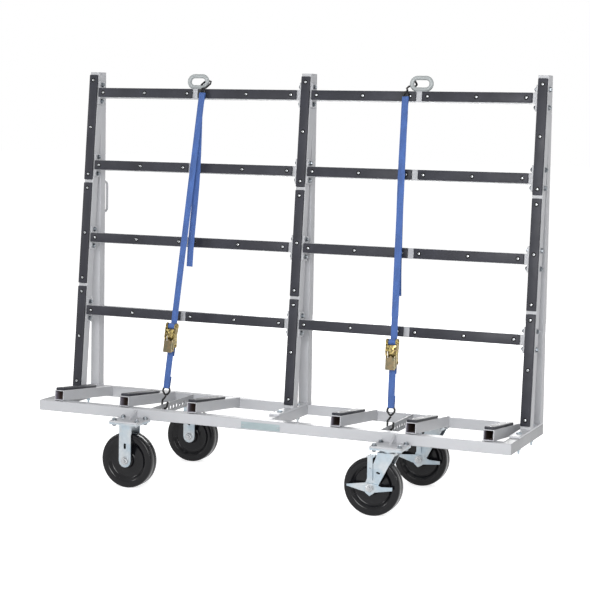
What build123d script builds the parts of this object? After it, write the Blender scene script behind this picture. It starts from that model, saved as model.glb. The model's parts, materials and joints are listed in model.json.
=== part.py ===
from build123d import *
import os
from math import atan2, cos, degrees, radians, sin

# Shop cart for sheet stock: a tube deck on four casters with a padded back that leans to the rear.
# Millimetres. The floor is z = 0, the load leans against the -Y side, and the origin is under the
# middle of the deck. Left and right are as seen from the front.

# Sides of round outlines on pieces that repeat, and the turn between chords of bent bar in degrees
ROUND_SIDE_COUNT = 12
WHEEL_SIDE_COUNT = 20
BAR_SIDE_COUNT = 8
WIRE_SIDE_COUNT = 6
HOLE_SIDE_COUNT = 10
BAR_TURN = 22.5
WIRE_TURN = 30.0

# Square tube used for the whole frame
TUBE = 38.1
TUBE_WALL = 3.0
TUBE_CORNER = 1.6

# Deck
DECK_LENGTH = 1828.8
DECK_DEPTH = 419.1
LEAN = 5.5

# Uprights of the back
LEG_TOP = 1517.0
FOOT_THICK = 6.35
FOOT_LENGTH = 311.0
BACK_FROM_REAR = 183.1
PAD_LIFT = 12.3

# Rubber pads
PAD_WIDTH = 35.0
PAD_THICK = 9.5
PAD_EDGE = 2.0
LEG_PAD_LENGTHS = (390.5, 392.0, 408.5)
LEG_PAD_GAP = 11.7
BAR_PAD_START = 30.0
BAR_PAD_GAP = 23.0
BAR_PAD_SHIFT = -5.0
SUPPORT_PAD_LENGTH = 246.0
SUPPORT_PAD_SETBACK = 4.0

# Cross bars of the back
BAR_ROWS = 4
BAR_FIRST = 299.3
BAR_PITCH = 282.2
END_PLATE_THICK = 6.35
END_PLATE_HEIGHT = 92.0

# Support tubes and perforated tie bars of the deck
SUPPORT_SHARES = (-0.4555, -0.3046, -0.1531, 0.1531, 0.3046, 0.4555)
SUPPORT_NOSE = 36.0
TIE_BAR_THICK = 3.2
TIE_BAR_SHIFT = -13.0
TIE_HOLE = 14.3
TIE_HOLE_PITCH = 25.4
TIE_HOLE_COUNT = 12
TIE_HOLE_FIRST = 24.7
TIE_HOLE_DROP = 20.4
TIE_HOLE_USED = 3

# Tie rings and pull handle
RING_WIDTH = 90.0
RING_HEIGHT = 58.0
RING_BAR = 16.0
RING_SHIFT = -5.0
HANDLE_ROD = 9.5
HANDLE_SPAN = 118.0
HANDLE_REACH = 48.0
HANDLE_BEND = 16.0
HANDLE_HEIGHT = 1028.0

# Casters
CASTER_HEIGHT = 241.3
CASTER_X = 503.0
PLATE_LENGTH = 114.3
PLATE_WIDTH = 101.6
PLATE_THICK = 6.35
GUSSET_THICK = 8.0
GUSSET_LENGTH = 60.0
GUSSET_HEIGHT = 28.0
WHEEL_RADIUS = 101.6
WHEEL_WIDTH = 50.8
TREAD_CORNER = 5.0
RIM_RADIUS = 78.0
RIM_SLOPE = 12.0
DISC_THICK = 26.0
HUB_RADIUS = 27.0
HUB_LENGTH = 57.0
SLEEVE_RADIUS = 9.5
AXLE_RADIUS = 6.35
AXLE_HEAD = 19.0
AXLE_HEAD_THICK = 6.0
LEG_INNER = 30.0
LEG_THICK = 6.35
RUNNING = 0.05
CLEAR = 0.3

# Rigid fork
RIGID_FOOT_RADIUS = 24.0
RIGID_TOP_WIDTH = 48.0
RIGID_SLOT_WIDTH = 9.0
RIGID_SLOT_LENGTH = 20.0
RIGID_SLOT_RISE = 54.0

# Swivel fork
TRAIL = 57.0
RACE_RADIUS = 31.0
RACE_DEPTH = 10.0
CROWN_THICK = 9.0
KINGPIN_RADIUS = 9.5
KINGPIN_NUT = 24.0
KINGPIN_NUT_THICK = 10.0
SWIVEL_FOOT_RADIUS = 22.0
SWIVEL_TOP_REAR = 34.0
SWIVEL_TOP_FRONT = 27.0
SWIVEL_SLOT_WIDTH = 6.5
SWIVEL_SLOT_LENGTH = 14.0
SWIVEL_SLOT_RISE = 53.0
SWIVEL_SLOT_TILT = -15.0

# Brake of the swivel casters
PEDAL_THICK = 4.0
PEDAL_REAR = 84.0
PEDAL_FRONT = 82.0
PEDAL_REAR_WIDTH = 6.0
PEDAL_FRONT_RISE = 9.0
PEDAL_FRONT_WIDTH = 12.0
PEDAL_HUB = 17.0
PEDAL_NECK = 42.0
PEDAL_NECK_TOP = 6.5
PEDAL_NECK_BOTTOM = 10.0
PEDAL_WAIST = 14.5
PEDAL_SHOULDER = 18.5
PEDAL_POINT = 28.0
FRONT_PEDAL_TILT = 0.0
REAR_PEDAL_TILT = 5.0
ARM_WIDTH = 19.0
ARM_FOOT = 25.5
ARM_PIVOT_RISE = 62.0
ARM_PIVOT_RADIUS = 4.0
RIVET_HEAD_RADIUS = 6.3
RIVET_HEAD_THICK = 1.2
SHOE_THICK = 4.0
SHOE_LENGTH = 28.0
SHOE_GAP = 3.3
SHOE_TRAVEL = 3.0

# Straps and hooks
WEBBING_WIDTH = 25.4
WEBBING_THICK = 1.8
SEWN_LENGTH = 85.0
LOOP_LENGTH = 40.0
HOOK_WIRE = 6.4
HOOK_EYE_WIDTH = 38.5
HOOK_EYE_HEIGHT = 18.0
HOOK_EYE_CORNER = 6.0
HOOK_MOUTH = 22.0
HOOK_TIP = 26.0
LOWER_EYE_RISE = 62.0
HOOK_OVERHANG = 8.0
HOOK_INSIDE = 10.0
LEFT_HOOK_NECK = 9.0
RIGHT_HOOK_NECK = 26.0
LEFT_GRIP_TURN = 45.0
RIGHT_GRIP_TURN = 20.0
HOOK_NECK_BEND = 7.0
HOOK_SHANK = 30.0
SEWN_ANGLE = 12.0
SEWN_BEND = 60.0
SEWN_GAP = 0.2
LEFT_TAIL_LENGTH = 570.0
RIGHT_TAIL_LENGTH = 628.0
TAIL_BEND = 500.0
TAIL_HANG = 1.4
TAIL_SHARE = 0.86

# Ratchets
SPINDLE_RISE = 309.0
SPINDLE_RADIUS = 6.0
SPINDLE_SLOT = 2.6
WRAP_HALF_TURNS = 4
WRAP_PITCH = 2.3
GAP_STEP = 0.25
PULL_STRETCH = 20.0
CHEEK_INNER = 14.5
CHEEK_THICK = 2.0
EAR_RADIUS = 11.0
ANCHOR_DROP = 72.0
ANCHOR_RADIUS = 4.0
ANCHOR_EAR = 8.0
COG_RADIUS = 12.5
COG_ROOT = 10.0
COG_TEETH = 10
COG_THICK = 3.0
LEVER_THICK = 2.0
LEVER_EAR = 12.0
LEVER_LENGTH = 100.0
GRIP_LENGTH = 46.0
GRIP_FRONT = 17.0
GRIP_DEPTH = 13.0
COG_RAKE = 0.3
RELEASE_FRONT = 11.0
RELEASE_HEAD = 10.0
RELEASE_FOOT = 34.0
RELEASE_TAB = 7.0
RELEASE_THICK = 2.4
RELEASE_TRAVEL = 6.0

# Heights and places that follow from the sizes above
DECK_MIDDLE = CASTER_HEIGHT + TUBE / 2
DECK_TOP = CASTER_HEIGHT + TUBE
FRONT = -DECK_DEPTH / 2
REAR = DECK_DEPTH / 2
FOOT_TOP = DECK_TOP + FOOT_THICK
UPRIGHT_X = DECK_LENGTH / 2 - TUBE / 2
UPRIGHTS = {"left": -UPRIGHT_X, "middle": 0.0, "right": UPRIGHT_X}
BAY_CENTRE = UPRIGHT_X / 2
BAR_LENGTH = UPRIGHT_X - TUBE - 2 * END_PLATE_THICK
BAR_DEPTH = PAD_THICK + TUBE / 2
CASTER_Y = DECK_DEPTH / 2 + PLATE_WIDTH / 2
PLATE_BOTTOM = CASTER_HEIGHT - PLATE_THICK
CROWN_TOP = PLATE_BOTTOM - RACE_DEPTH - CLEAR
CROWN_BOTTOM = CROWN_TOP - CROWN_THICK
LEG_OUTER = LEG_INNER + LEG_THICK
PEDAL_FACE = LEG_OUTER + CLEAR
AXLE_END = PEDAL_FACE + PEDAL_THICK + CLEAR

# The back's own frame: X across, Y into the cart, Z up along the leaning pads' front plane
BACK = Pos(0, REAR - BACK_FROM_REAR, FOOT_TOP + PAD_LIFT) * Rot(-LEAN, 0, 0)
# The support tubes' frame: Y down the slope, Z out of the tubes, from the front rail's rear top edge
SUPPORT = Pos(0, FRONT + TUBE, DECK_TOP) * Rot(-LEAN, 0, 0)

nodes = {}


def keep(name, *shapes):
    """Files the solids of one named piece."""
    nodes.setdefault(name, [])
    for shape in shapes:
        nodes[name].extend(shape.solids())


def square_tube(length):
    """Square tube along Z, centred on it and starting at z = 0."""
    section = chamfer(Rectangle(TUBE, TUBE).vertices(), TUBE_CORNER)
    bore = TUBE - 2 * TUBE_WALL
    return extrude(section - Rectangle(bore, bore), length)


def lying_tube(length):
    """Square tube along X, centred on the origin."""
    return Rot(0, 90, 0) * Pos(0, 0, -length / 2) * square_tube(length)


def mitred_tube(length):
    """Tube along X whose ends are cut at 45 degrees, with the long side towards -Y."""
    outer = length / 2
    inner = outer - TUBE
    half = TUBE / 2
    outline = Polygon((-outer, -half), (outer, -half), (inner, half), (-inner, half), align=None)
    return lying_tube(length) & extrude(outline, TUBE, both=True)


def pad(length):
    """Rubber pad along X with eased front edges; its back lies on y = 0 and its front faces -Y."""
    block = Pos(0, -PAD_THICK / 2, 0) * Box(length, PAD_THICK, PAD_WIDTH)
    front = block.edges().filter_by(Axis.X).group_by(Axis.Y)[0]
    return chamfer(front, PAD_EDGE)


def hexagon(across_flats, thick):
    """Hexagonal head or nut standing on z = 0."""
    return extrude(RegularPolygon(across_flats / 2, 6, major_radius=False), thick)


def round_face(radius):
    """Round outline with straight sides, inside the given radius."""
    return RegularPolygon(radius, ROUND_SIDE_COUNT)


def round_room(radius):
    """Round opening with straight sides, outside the given radius."""
    return RegularPolygon(radius, ROUND_SIDE_COUNT, major_radius=False)


def slot_face(length, width):
    """Slot along X with eased ends."""
    return chamfer(Rectangle(length, width).vertices(), width / 4)


def chords(path, turn):
    """Points along a path: the ends of its straight runs and short chords round its bends."""
    points = []
    for edge in path.order_edges():
        parts = 1
        if edge.geom_type == GeomType.CIRCLE:
            parts = round(edge.length / edge.radius / radians(turn))
        points.extend(edge @ (part / parts) for part in range(parts))
    if not path.is_closed:
        points.append(path @ 1)
    return points


def bent_bar(path, diameter, sides, turn):
    """Bar with a many-sided round section, mitred from chord to chord along a path."""
    points = chords(path, turn)
    closed = path.is_closed
    following = points[1:] + points[:1]
    runs = [(b - a).normalized() for a, b in zip(points, following)]
    start = Plane(points[0], z_dir=runs[0])
    corner = Vector(diameter / 2, 0, 0)
    ring = [start.from_local_coords(corner.rotate(Axis.Z, side * 360 / sides)) for side in range(sides)]
    rings = []
    for index, point in enumerate(points):
        before = runs[index - 1]
        after = runs[index]
        if not closed and index == 0:
            before = after
        if not closed and index == len(points) - 1:
            after = before
        mitre = before + after
        along = after if index == 0 else before
        ring = [spot + along * ((point - spot).dot(mitre) / along.dot(mitre)) for spot in ring]
        rings.append(ring)
    if closed:
        rings.append(rings[0])
    faces = []
    for low, high in zip(rings, rings[1:]):
        for side in range(sides):
            corners = (low[side - 1], low[side], high[side], high[side - 1])
            faces.append(Face(Wire.make_polygon(corners)))
    if not closed:
        faces.append(Face(Wire.make_polygon(rings[0])))
        faces.append(Face(Wire.make_polygon(rings[-1])))
    return Solid(Shell(faces))


def make_deck():
    long_rail = mitred_tube(DECK_LENGTH)
    end_rail = mitred_tube(DECK_DEPTH)
    keep("front_rail", Pos(0, FRONT + TUBE / 2, DECK_MIDDLE) * long_rail)
    keep("rear_rail", Pos(0, REAR - TUBE / 2, DECK_MIDDLE) * Rot(0, 0, 180) * long_rail)
    keep("left_end_rail", Pos(-UPRIGHT_X, 0, DECK_MIDDLE) * Rot(0, 0, -90) * end_rail)
    keep("right_end_rail", Pos(UPRIGHT_X, 0, DECK_MIDDLE) * Rot(0, 0, 90) * end_rail)
    keep("middle_rail", Pos(0, 0, DECK_MIDDLE) * Rot(0, 0, 90) * lying_tube(DECK_DEPTH - 2 * TUBE))
    for x in UPRIGHTS.values():
        foot = Box(TUBE, FOOT_LENGTH, FOOT_THICK, align=(Align.CENTER, Align.MAX, Align.MIN))
        keep("foot_plates", Pos(x, REAR, DECK_TOP) * foot)


def make_supports():
    reach = DECK_DEPTH
    ahead = (Align.CENTER, Align.MAX, Align.CENTER)
    room = Pos(0, REAR - TUBE, 0) * Box(DECK_LENGTH, 2 * DECK_DEPTH, 2 * LEG_TOP, align=ahead)
    for number, share in enumerate(SUPPORT_SHARES, 1):
        x = share * DECK_LENGTH
        tube = Pos(0, -SUPPORT_NOSE, TUBE / 2) * Rot(-90, 0, 0) * square_tube(reach)
        keep(f"support_tube_{number}", (SUPPORT * Pos(x, 0, 0) * tube) & room)
        start = SUPPORT_PAD_SETBACK - SUPPORT_NOSE
        laid = Rot(-90, 0, 0) * pad(SUPPORT_PAD_LENGTH)
        turned = Pos(0, start + SUPPORT_PAD_LENGTH / 2, TUBE) * Rot(0, 0, 90) * laid
        keep("support_pads", SUPPORT * Pos(x, 0, 0) * turned)
    length = DECK_DEPTH - 2 * TUBE
    for side, bay in (("left", -BAY_CENTRE), ("right", BAY_CENTRE)):
        x = bay + TIE_BAR_SHIFT
        bar = Pos(x, 0, DECK_MIDDLE) * Box(TIE_BAR_THICK, length, TUBE)
        for count in range(TIE_HOLE_COUNT):
            y = FRONT + TUBE + TIE_HOLE_FIRST + count * TIE_HOLE_PITCH
            outline = RegularPolygon(TIE_HOLE / 2, HOLE_SIDE_COUNT, major_radius=False)
            bar -= Pos(x, y, DECK_TOP - TIE_HOLE_DROP) * extrude(Plane.YZ * outline, TIE_BAR_THICK, both=True)
        keep(f"{side}_tie_bar", bar)


def make_back():
    stretch = LEG_TOP
    room = Pos(0, REAR - TUBE, FOOT_TOP) * Box(
        2 * DECK_LENGTH, 2 * DECK_DEPTH, LEG_TOP - FOOT_TOP, align=(Align.CENTER, Align.MAX, Align.MIN)
    )
    for side, x in UPRIGHTS.items():
        keep(f"{side}_front_leg", (BACK * Pos(x, BAR_DEPTH, -TUBE) * square_tube(stretch)) & room)
        rear = square_tube(LEG_TOP - FOOT_TOP)
        bore = TUBE - 2 * TUBE_WALL
        cap = Box(bore, bore, TUBE_WALL, align=(Align.CENTER, Align.CENTER, Align.MAX))
        capped = rear + Pos(0, 0, LEG_TOP - FOOT_TOP) * cap
        keep(f"{side}_rear_leg", Pos(x, REAR - TUBE / 2, FOOT_TOP) * capped)
        low = 0.0
        for length in LEG_PAD_LENGTHS:
            keep("leg_pads", BACK * Pos(x, PAD_THICK, low + length / 2) * Rot(0, 90, 0) * pad(length))
            low += length + LEG_PAD_GAP
    pad_length = (UPRIGHT_X - 2 * BAR_PAD_START - BAR_PAD_GAP) / 2
    plate_centre = (BAR_LENGTH + END_PLATE_THICK) / 2
    for row in range(BAR_ROWS):
        height = BAR_FIRST + row * BAR_PITCH
        name = f"back_bars_{BAR_ROWS - row}"
        for bay in (-BAY_CENTRE, BAY_CENTRE):
            keep(name, BACK * Pos(bay, BAR_DEPTH, height) * lying_tube(BAR_LENGTH))
            for end in (-1, 1):
                plate = Box(END_PLATE_THICK, TUBE, END_PLATE_HEIGHT)
                keep(name, BACK * Pos(bay + end * plate_centre, BAR_DEPTH, height) * plate)
                offset = BAR_PAD_SHIFT + end * (pad_length + BAR_PAD_GAP) / 2
                keep("bar_pads", BACK * Pos(bay + offset, PAD_THICK, height) * pad(pad_length))


def make_fittings():
    top = BAR_FIRST + (BAR_ROWS - 1) * BAR_PITCH + TUBE / 2
    for x in (-BAY_CENTRE, BAY_CENTRE):
        keep("tie_rings", BACK * Pos(x + RING_SHIFT, BAR_DEPTH, top + RING_HEIGHT / 2) * tie_ring())
    low = HANDLE_HEIGHT - HANDLE_SPAN / 2
    high = HANDLE_HEIGHT + HANDLE_SPAN / 2
    out = REAR + HANDLE_REACH
    path = FilletPolyline((0, REAR, low), (0, out, low), (0, out, high), (0, REAR, high), radius=HANDLE_BEND)
    keep("pull_handle", Pos(-UPRIGHT_X, 0, 0) * bent_bar(path, HANDLE_ROD, BAR_SIDE_COUNT, BAR_TURN))


def tie_ring():
    """Long ring of round bar standing in the XZ plane, centred on the origin."""
    bend = (RING_HEIGHT - RING_BAR) / 2
    straight = RING_WIDTH - RING_HEIGHT
    outline = Plane.XZ * SlotCenterToCenter(straight, 2 * bend)
    return bent_bar(outline.wire(), RING_BAR, BAR_SIDE_COUNT, BAR_TURN)


def caster_plate(bottom):
    """Bolt-on plate, centred on Z, with its lower face at the given height."""
    up = (Align.CENTER, Align.CENTER, Align.MIN)
    return Pos(0, 0, bottom) * Box(PLATE_LENGTH, PLATE_WIDTH, PLATE_THICK, align=up)


def caster_mount():
    """Welded shelf for a caster beside the deck: a plate and its gusset, with the rail on the +Y side."""
    top = CASTER_HEIGHT + PLATE_THICK
    edge = PLATE_WIDTH / 2
    corners = ((edge, top), (edge, top + GUSSET_HEIGHT), (edge - GUSSET_LENGTH, top))
    web = Plane.YZ * Polygon(*corners, align=None)
    return caster_plate(CASTER_HEIGHT) + extrude(web, GUSSET_THICK / 2, both=True)


def both_legs(outline):
    """The two fork legs cut from one outline in the XZ plane."""
    legs = Part()
    for side in (-1, 1):
        leg = extrude(Plane.XZ * outline, LEG_THICK / 2, both=True)
        legs += Pos(0, side * (LEG_INNER + LEG_THICK / 2), 0) * leg
    return legs


def tangent_leg(foot_x, foot_radius, top_rear, top_front, top):
    """Leg outline: a round foot about the axle joined by tangent sides to a straight top edge."""
    foot = Pos(foot_x, WHEEL_RADIUS) * round_face(foot_radius)
    edge = Line((-top_rear, top), (top_front, top))
    return make_hull(foot.edges() + edge.edges())


def axle(x, front_end):
    """Axle bolt in its fork: the hub sleeve between the legs and a hexagon at each end."""
    sleeve = extrude(round_face(SLEEVE_RADIUS), LEG_INNER - CLEAR, both=True)
    length = front_end + LEG_OUTER
    shank = Pos(0, 0, -LEG_OUTER) * extrude(round_face(AXLE_RADIUS), length)
    head = Pos(0, 0, front_end) * hexagon(AXLE_HEAD, AXLE_HEAD_THICK)
    nut = Pos(0, 0, -LEG_OUTER - AXLE_HEAD_THICK) * hexagon(AXLE_HEAD, AXLE_HEAD_THICK)
    return Pos(x, 0, WHEEL_RADIUS) * Rot(90, 0, 0) * (sleeve + shank + head + nut)


def rigid_fork():
    outline = tangent_leg(0, RIGID_FOOT_RADIUS, RIGID_TOP_WIDTH / 2, RIGID_TOP_WIDTH / 2, PLATE_BOTTOM)
    upright = Rot(0, 0, 90) * slot_face(RIGID_SLOT_LENGTH, RIGID_SLOT_WIDTH)
    slot = Pos(0, WHEEL_RADIUS + RIGID_SLOT_RISE) * upright
    return caster_plate(PLATE_BOTTOM) + both_legs(outline - slot) + axle(0, LEG_OUTER)


def swivel_plate():
    """Top plate with its ball race and the kingpin that carries the fork."""
    race = Pos(0, 0, PLATE_BOTTOM) * extrude(RegularPolygon(RACE_RADIUS, WHEEL_SIDE_COUNT), -RACE_DEPTH)
    pin_length = PLATE_BOTTOM - CROWN_BOTTOM + CLEAR + KINGPIN_NUT_THICK
    pin = Pos(0, 0, PLATE_BOTTOM) * extrude(round_face(KINGPIN_RADIUS), -pin_length)
    nut = Pos(0, 0, CROWN_BOTTOM - CLEAR - KINGPIN_NUT_THICK) * hexagon(KINGPIN_NUT, KINGPIN_NUT_THICK)
    return caster_plate(PLATE_BOTTOM) + race + pin + nut


def swivel_fork():
    outline = tangent_leg(-TRAIL, SWIVEL_FOOT_RADIUS, SWIVEL_TOP_REAR, SWIVEL_TOP_FRONT, CROWN_BOTTOM)
    tilted = Rot(0, 0, SWIVEL_SLOT_TILT) * slot_face(SWIVEL_SLOT_LENGTH, SWIVEL_SLOT_WIDTH)
    slot = Pos(-TRAIL / 2, WHEEL_RADIUS + SWIVEL_SLOT_RISE) * tilted
    middle = (SWIVEL_TOP_FRONT - SWIVEL_TOP_REAR) / 2
    up = (Align.CENTER, Align.CENTER, Align.MIN)
    bridge = Box(SWIVEL_TOP_FRONT + SWIVEL_TOP_REAR, 2 * LEG_OUTER, CROWN_THICK, align=up)
    crown = Pos(middle, 0, CROWN_BOTTOM) * bridge
    fork = crown + both_legs(outline - slot)
    fork -= Cylinder(KINGPIN_RADIUS + RUNNING, 2 * CASTER_HEIGHT)
    rivet_length = PEDAL_THICK + 2 * CLEAR
    stem = extrude(round_face(ARM_PIVOT_RADIUS), rivet_length)
    head = Pos(0, 0, rivet_length) * extrude(round_face(RIVET_HEAD_RADIUS), RIVET_HEAD_THICK)
    rivet = Pos(-TRAIL, -LEG_OUTER, WHEEL_RADIUS + ARM_PIVOT_RISE) * Rot(90, 0, 0) * (stem + head)
    return fork + rivet + axle(-TRAIL, AXLE_END)


def turned(*stations):
    """Turned shape along Z with straight sides, from (radius, height) stations in rising order."""
    step = 360 / WHEEL_SIDE_COUNT
    sides = range(WHEEL_SIDE_COUNT)
    rings = []
    for radius, height in stations:
        rings.append([Vector(radius, 0, height).rotate(Axis.Z, side * step) for side in sides])
    faces = [Face(Wire.make_polygon(ring)) for ring in (rings[0], rings[-1])]
    for low, high in zip(rings, rings[1:]):
        for side in sides:
            corners = (low[side - 1], low[side], high[side], high[side - 1])
            faces.append(Face(Wire.make_polygon(corners)))
    return Solid(Shell(faces))


def wheel(x):
    """Wheel about an axle along Y: tread, rim step, recessed disc, hub boss and bore."""
    half = WHEEL_WIDTH / 2
    disc = DISC_THICK / 2
    flank = WHEEL_RADIUS - TREAD_CORNER
    shoulder = half - TREAD_CORNER
    body = turned((flank, -half), (WHEEL_RADIUS, -shoulder), (WHEEL_RADIUS, shoulder), (flank, half))
    recess = turned((RIM_RADIUS - RIM_SLOPE, disc), (RIM_RADIUS, half))
    hub = turned((HUB_RADIUS, -HUB_LENGTH / 2), (HUB_RADIUS, HUB_LENGTH / 2))
    body = body - recess - mirror(recess, about=Plane.XY) + hub
    body -= Cylinder(SLEEVE_RADIUS + RUNNING, 2 * HUB_LENGTH)
    return Pos(x, 0, WHEEL_RADIUS) * Rot(90, 0, 0) * body


def brake_pedal(tilt):
    """Winged pedal that rocks on the axle: two wings, a point below the hub and a notch each side of it."""
    notch = PEDAL_POINT / 2
    outline = Polygon(
        (-PEDAL_REAR, 0),
        (-PEDAL_REAR, PEDAL_REAR_WIDTH),
        (-PEDAL_HUB, PEDAL_HUB),
        (PEDAL_HUB, PEDAL_WAIST),
        (PEDAL_NECK, PEDAL_NECK_TOP),
        (PEDAL_FRONT, PEDAL_FRONT_RISE),
        (PEDAL_FRONT, PEDAL_FRONT_RISE - PEDAL_FRONT_WIDTH),
        (PEDAL_NECK, -PEDAL_NECK_BOTTOM),
        (PEDAL_HUB, -PEDAL_WAIST),
        (notch, -PEDAL_SHOULDER),
        (0, -PEDAL_POINT),
        (-notch, -PEDAL_SHOULDER),
        (-PEDAL_HUB, -PEDAL_WAIST),
        align=None,
    )
    plate = extrude(Plane.XZ * (outline - Circle(AXLE_RADIUS + RUNNING)), PEDAL_THICK / 2, both=True)
    return Pos(-TRAIL, -PEDAL_FACE - PEDAL_THICK / 2, WHEEL_RADIUS) * Rot(0, tilt, 0) * plate


def brake_shoe():
    """Shoe over the tread on an arm that slides down the fork leg, guided by the leg's rivet."""
    top = WHEEL_RADIUS + SHOE_GAP + SHOE_THICK
    slot_length = 2 * ARM_PIVOT_RADIUS + SHOE_TRAVEL + 2 * CLEAR
    upright = Rot(0, 0, 90) * slot_face(slot_length, 2 * (ARM_PIVOT_RADIUS + CLEAR))
    slot = Pos(0, ARM_PIVOT_RISE + SHOE_TRAVEL / 2) * upright
    flat = Pos(0, (ARM_FOOT + top) / 2) * Rectangle(ARM_WIDTH, top - ARM_FOOT)
    plate = extrude(Plane.XZ * (flat - slot), PEDAL_THICK / 2, both=True)
    arm = Pos(0, -PEDAL_FACE - PEDAL_THICK / 2, 0) * plate
    reach = PEDAL_FACE + PEDAL_THICK + WHEEL_WIDTH / 2
    back_and_down = (Align.CENTER, Align.MIN, Align.MAX)
    bent = Box(SHOE_LENGTH, reach, SHOE_THICK, align=back_and_down)
    shoe = Pos(0, -PEDAL_FACE - PEDAL_THICK, top) * bent
    return Pos(-TRAIL, 0, WHEEL_RADIUS) * (arm + shoe)


def make_casters():
    ends = {"front": (-CASTER_Y, 0, FRONT_PEDAL_TILT), "rear": (CASTER_Y, 180, REAR_PEDAL_TILT)}
    for end, (y, turn, tilt) in ends.items():
        for side, x in (("left", -CASTER_X), ("right", CASTER_X)):
            place = Pos(x, y, 0)
            keep(f"{end}_caster_mounts", place * Rot(0, 0, turn) * caster_mount())
            if side == "left":
                keep(f"{end}_left_fork", place * rigid_fork())
                keep(f"{end}_left_wheel", place * wheel(0))
            else:
                keep(f"{end}_right_plate", place * swivel_plate())
                keep(f"{end}_right_fork", place * swivel_fork())
                keep(f"{end}_right_wheel", place * wheel(-TRAIL))
                keep(f"{end}_brake_pedal", place * brake_pedal(tilt))
                keep(f"{end}_brake_shoe", place * brake_shoe())


def turtle(start, heading, moves):
    """Path in the YZ plane made of straight runs (length,) and tangent bends (radius, turn in degrees)."""
    edges = []
    point = Vector(*start)
    direction = Vector(1, 0).rotate(Axis.Z, heading)
    for move in moves:
        if len(move) == 1:
            edge = Line(point, point + direction * move[0])
        else:
            edge = JernArc(point, direction, *move)
        edges.append(edge)
        point = edge @ 1
        direction = edge % 1
    return Wire((Plane.YZ * (Curve() + edges)).edges())


def webbing(path):
    """Flat webbing along a path, with its width along X."""
    section = Plane(path @ 0, x_dir=(1, 0, 0), z_dir=path % 0) * Rectangle(WEBBING_WIDTH, WEBBING_THICK)
    return sweep(section, path=path)


def hook_eye(middle):
    """Closed wire eye in the XZ plane, centred at a height."""
    outline = Plane.XZ * Pos(0, middle) * RectangleRounded(HOOK_EYE_WIDTH, HOOK_EYE_HEIGHT, HOOK_EYE_CORNER)
    return bent_bar(outline.wire(), HOOK_WIRE, WIRE_SIDE_COUNT, WIRE_TURN)


def ring_grip(ring, inwards, turn):
    """Points of an upper hook: round the ring's inner end from behind, then forward over the bar."""
    bend = (RING_HEIGHT - RING_BAR) / 2
    side = cos(radians(turn))
    drop = sin(radians(turn))
    bar_top = BAR_FIRST + (BAR_ROWS - 1) * BAR_PITCH + TUBE / 2
    across = (RING_WIDTH - RING_HEIGHT) / 2 + bend * side
    up = bar_top + RING_HEIGHT / 2 - bend * drop
    radius = RING_BAR / 2 + HOOK_WIRE / 2 + 2 * CLEAR
    inside = (across - radius * side, up + radius * drop)
    outside = (across + radius * side, up - radius * drop)
    spots = (
        (inside, BAR_DEPTH - HOOK_INSIDE),
        (inside, BAR_DEPTH + radius),
        (outside, BAR_DEPTH + radius),
        (outside, -HOOK_OVERHANG),
    )
    return [(BACK * Pos(ring + inwards * spot[0], depth, spot[1])).position for spot, depth in spots]


HOLE_WIRE = DECK_TOP - TIE_HOLE_DROP + TIE_HOLE / 2 - HOOK_WIRE / 2 - 2 * CLEAR
HOLE_USED = FRONT + TUBE + TIE_HOLE_FIRST + TIE_HOLE_USED * TIE_HOLE_PITCH
EYE_LOOP = HOOK_WIRE / 2 + CLEAR + WEBBING_THICK / 2
LOWER_EYE = LOWER_EYE_RISE + HOOK_EYE_HEIGHT
WRAP_START = SPINDLE_RADIUS + CLEAR + WEBBING_THICK / 2
SPINDLE_Y = -EYE_LOOP - WRAP_START - WRAP_HALF_TURNS * WRAP_PITCH / 2
ANCHOR_LOOP = ANCHOR_RADIUS + CLEAR + WEBBING_THICK / 2
ANCHOR_Y = ANCHOR_LOOP - EYE_LOOP
ANCHOR = (ANCHOR_Y - SPINDLE_Y, -ANCHOR_DROP)
CHEEK_OUTER = CHEEK_INNER + CHEEK_THICK
COG_OUTER = CHEEK_OUTER + CLEAR + COG_THICK
LEVER_INNER = COG_OUTER + CLEAR
LEVER_OUTER = LEVER_INNER + LEVER_THICK


class Pull:
    """One strap's line from its hole in the deck up to its ring: X across it, Y into the cart, Z along it."""

    def __init__(self, bay, inwards, grip_turn, neck, tail_length):
        self.grip = ring_grip(bay + RING_SHIFT, inwards, grip_turn)
        hole = Vector(bay + TIE_BAR_SHIFT, HOLE_USED, HOLE_WIRE)
        along = self.grip[-1] - hole
        self.place = Plane(hole, x_dir=(1, 0, 0), z_dir=along).location
        self.neck = along.length - neck
        self.upper_eye = self.neck - HOOK_EYE_HEIGHT
        self.lean = degrees(atan2(along.Y, along.Z))
        self.tail_length = tail_length
        self.spindle = self.place * Pos(0, SPINDLE_Y, SPINDLE_RISE)


PULLS = {
    "left": Pull(-BAY_CENTRE, 1, LEFT_GRIP_TURN, LEFT_HOOK_NECK, LEFT_TAIL_LENGTH),
    "right": Pull(BAY_CENTRE, -1, RIGHT_GRIP_TURN, RIGHT_HOOK_NECK, RIGHT_TAIL_LENGTH),
}


def upper_hook(pull):
    neck = (pull.place * Pos(0, 0, pull.neck)).position
    bend = HOOK_WIRE / 2 + RING_BAR / 2
    path = FilletPolyline(*pull.grip, neck, radius=[bend, bend, HOOK_NECK_BEND])
    bent = bent_bar(path, HOOK_WIRE, WIRE_SIDE_COUNT, WIRE_TURN)
    return bent + pull.place * hook_eye(pull.upper_eye + HOOK_EYE_HEIGHT / 2)


def lower_hook():
    half = HOOK_MOUTH / 2
    bend = half - CLEAR
    path = FilletPolyline(
        (half, 0, HOOK_TIP), (half, 0, 0), (-half, 0, 0), (-half, 0, HOOK_SHANK), (0, 0, LOWER_EYE_RISE),
        radius=[bend, bend, HOOK_NECK_BEND],
    )
    bent = bent_bar(path, HOOK_WIRE, WIRE_SIDE_COUNT, WIRE_TURN)
    return bent + hook_eye(LOWER_EYE - HOOK_EYE_HEIGHT / 2)


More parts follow.
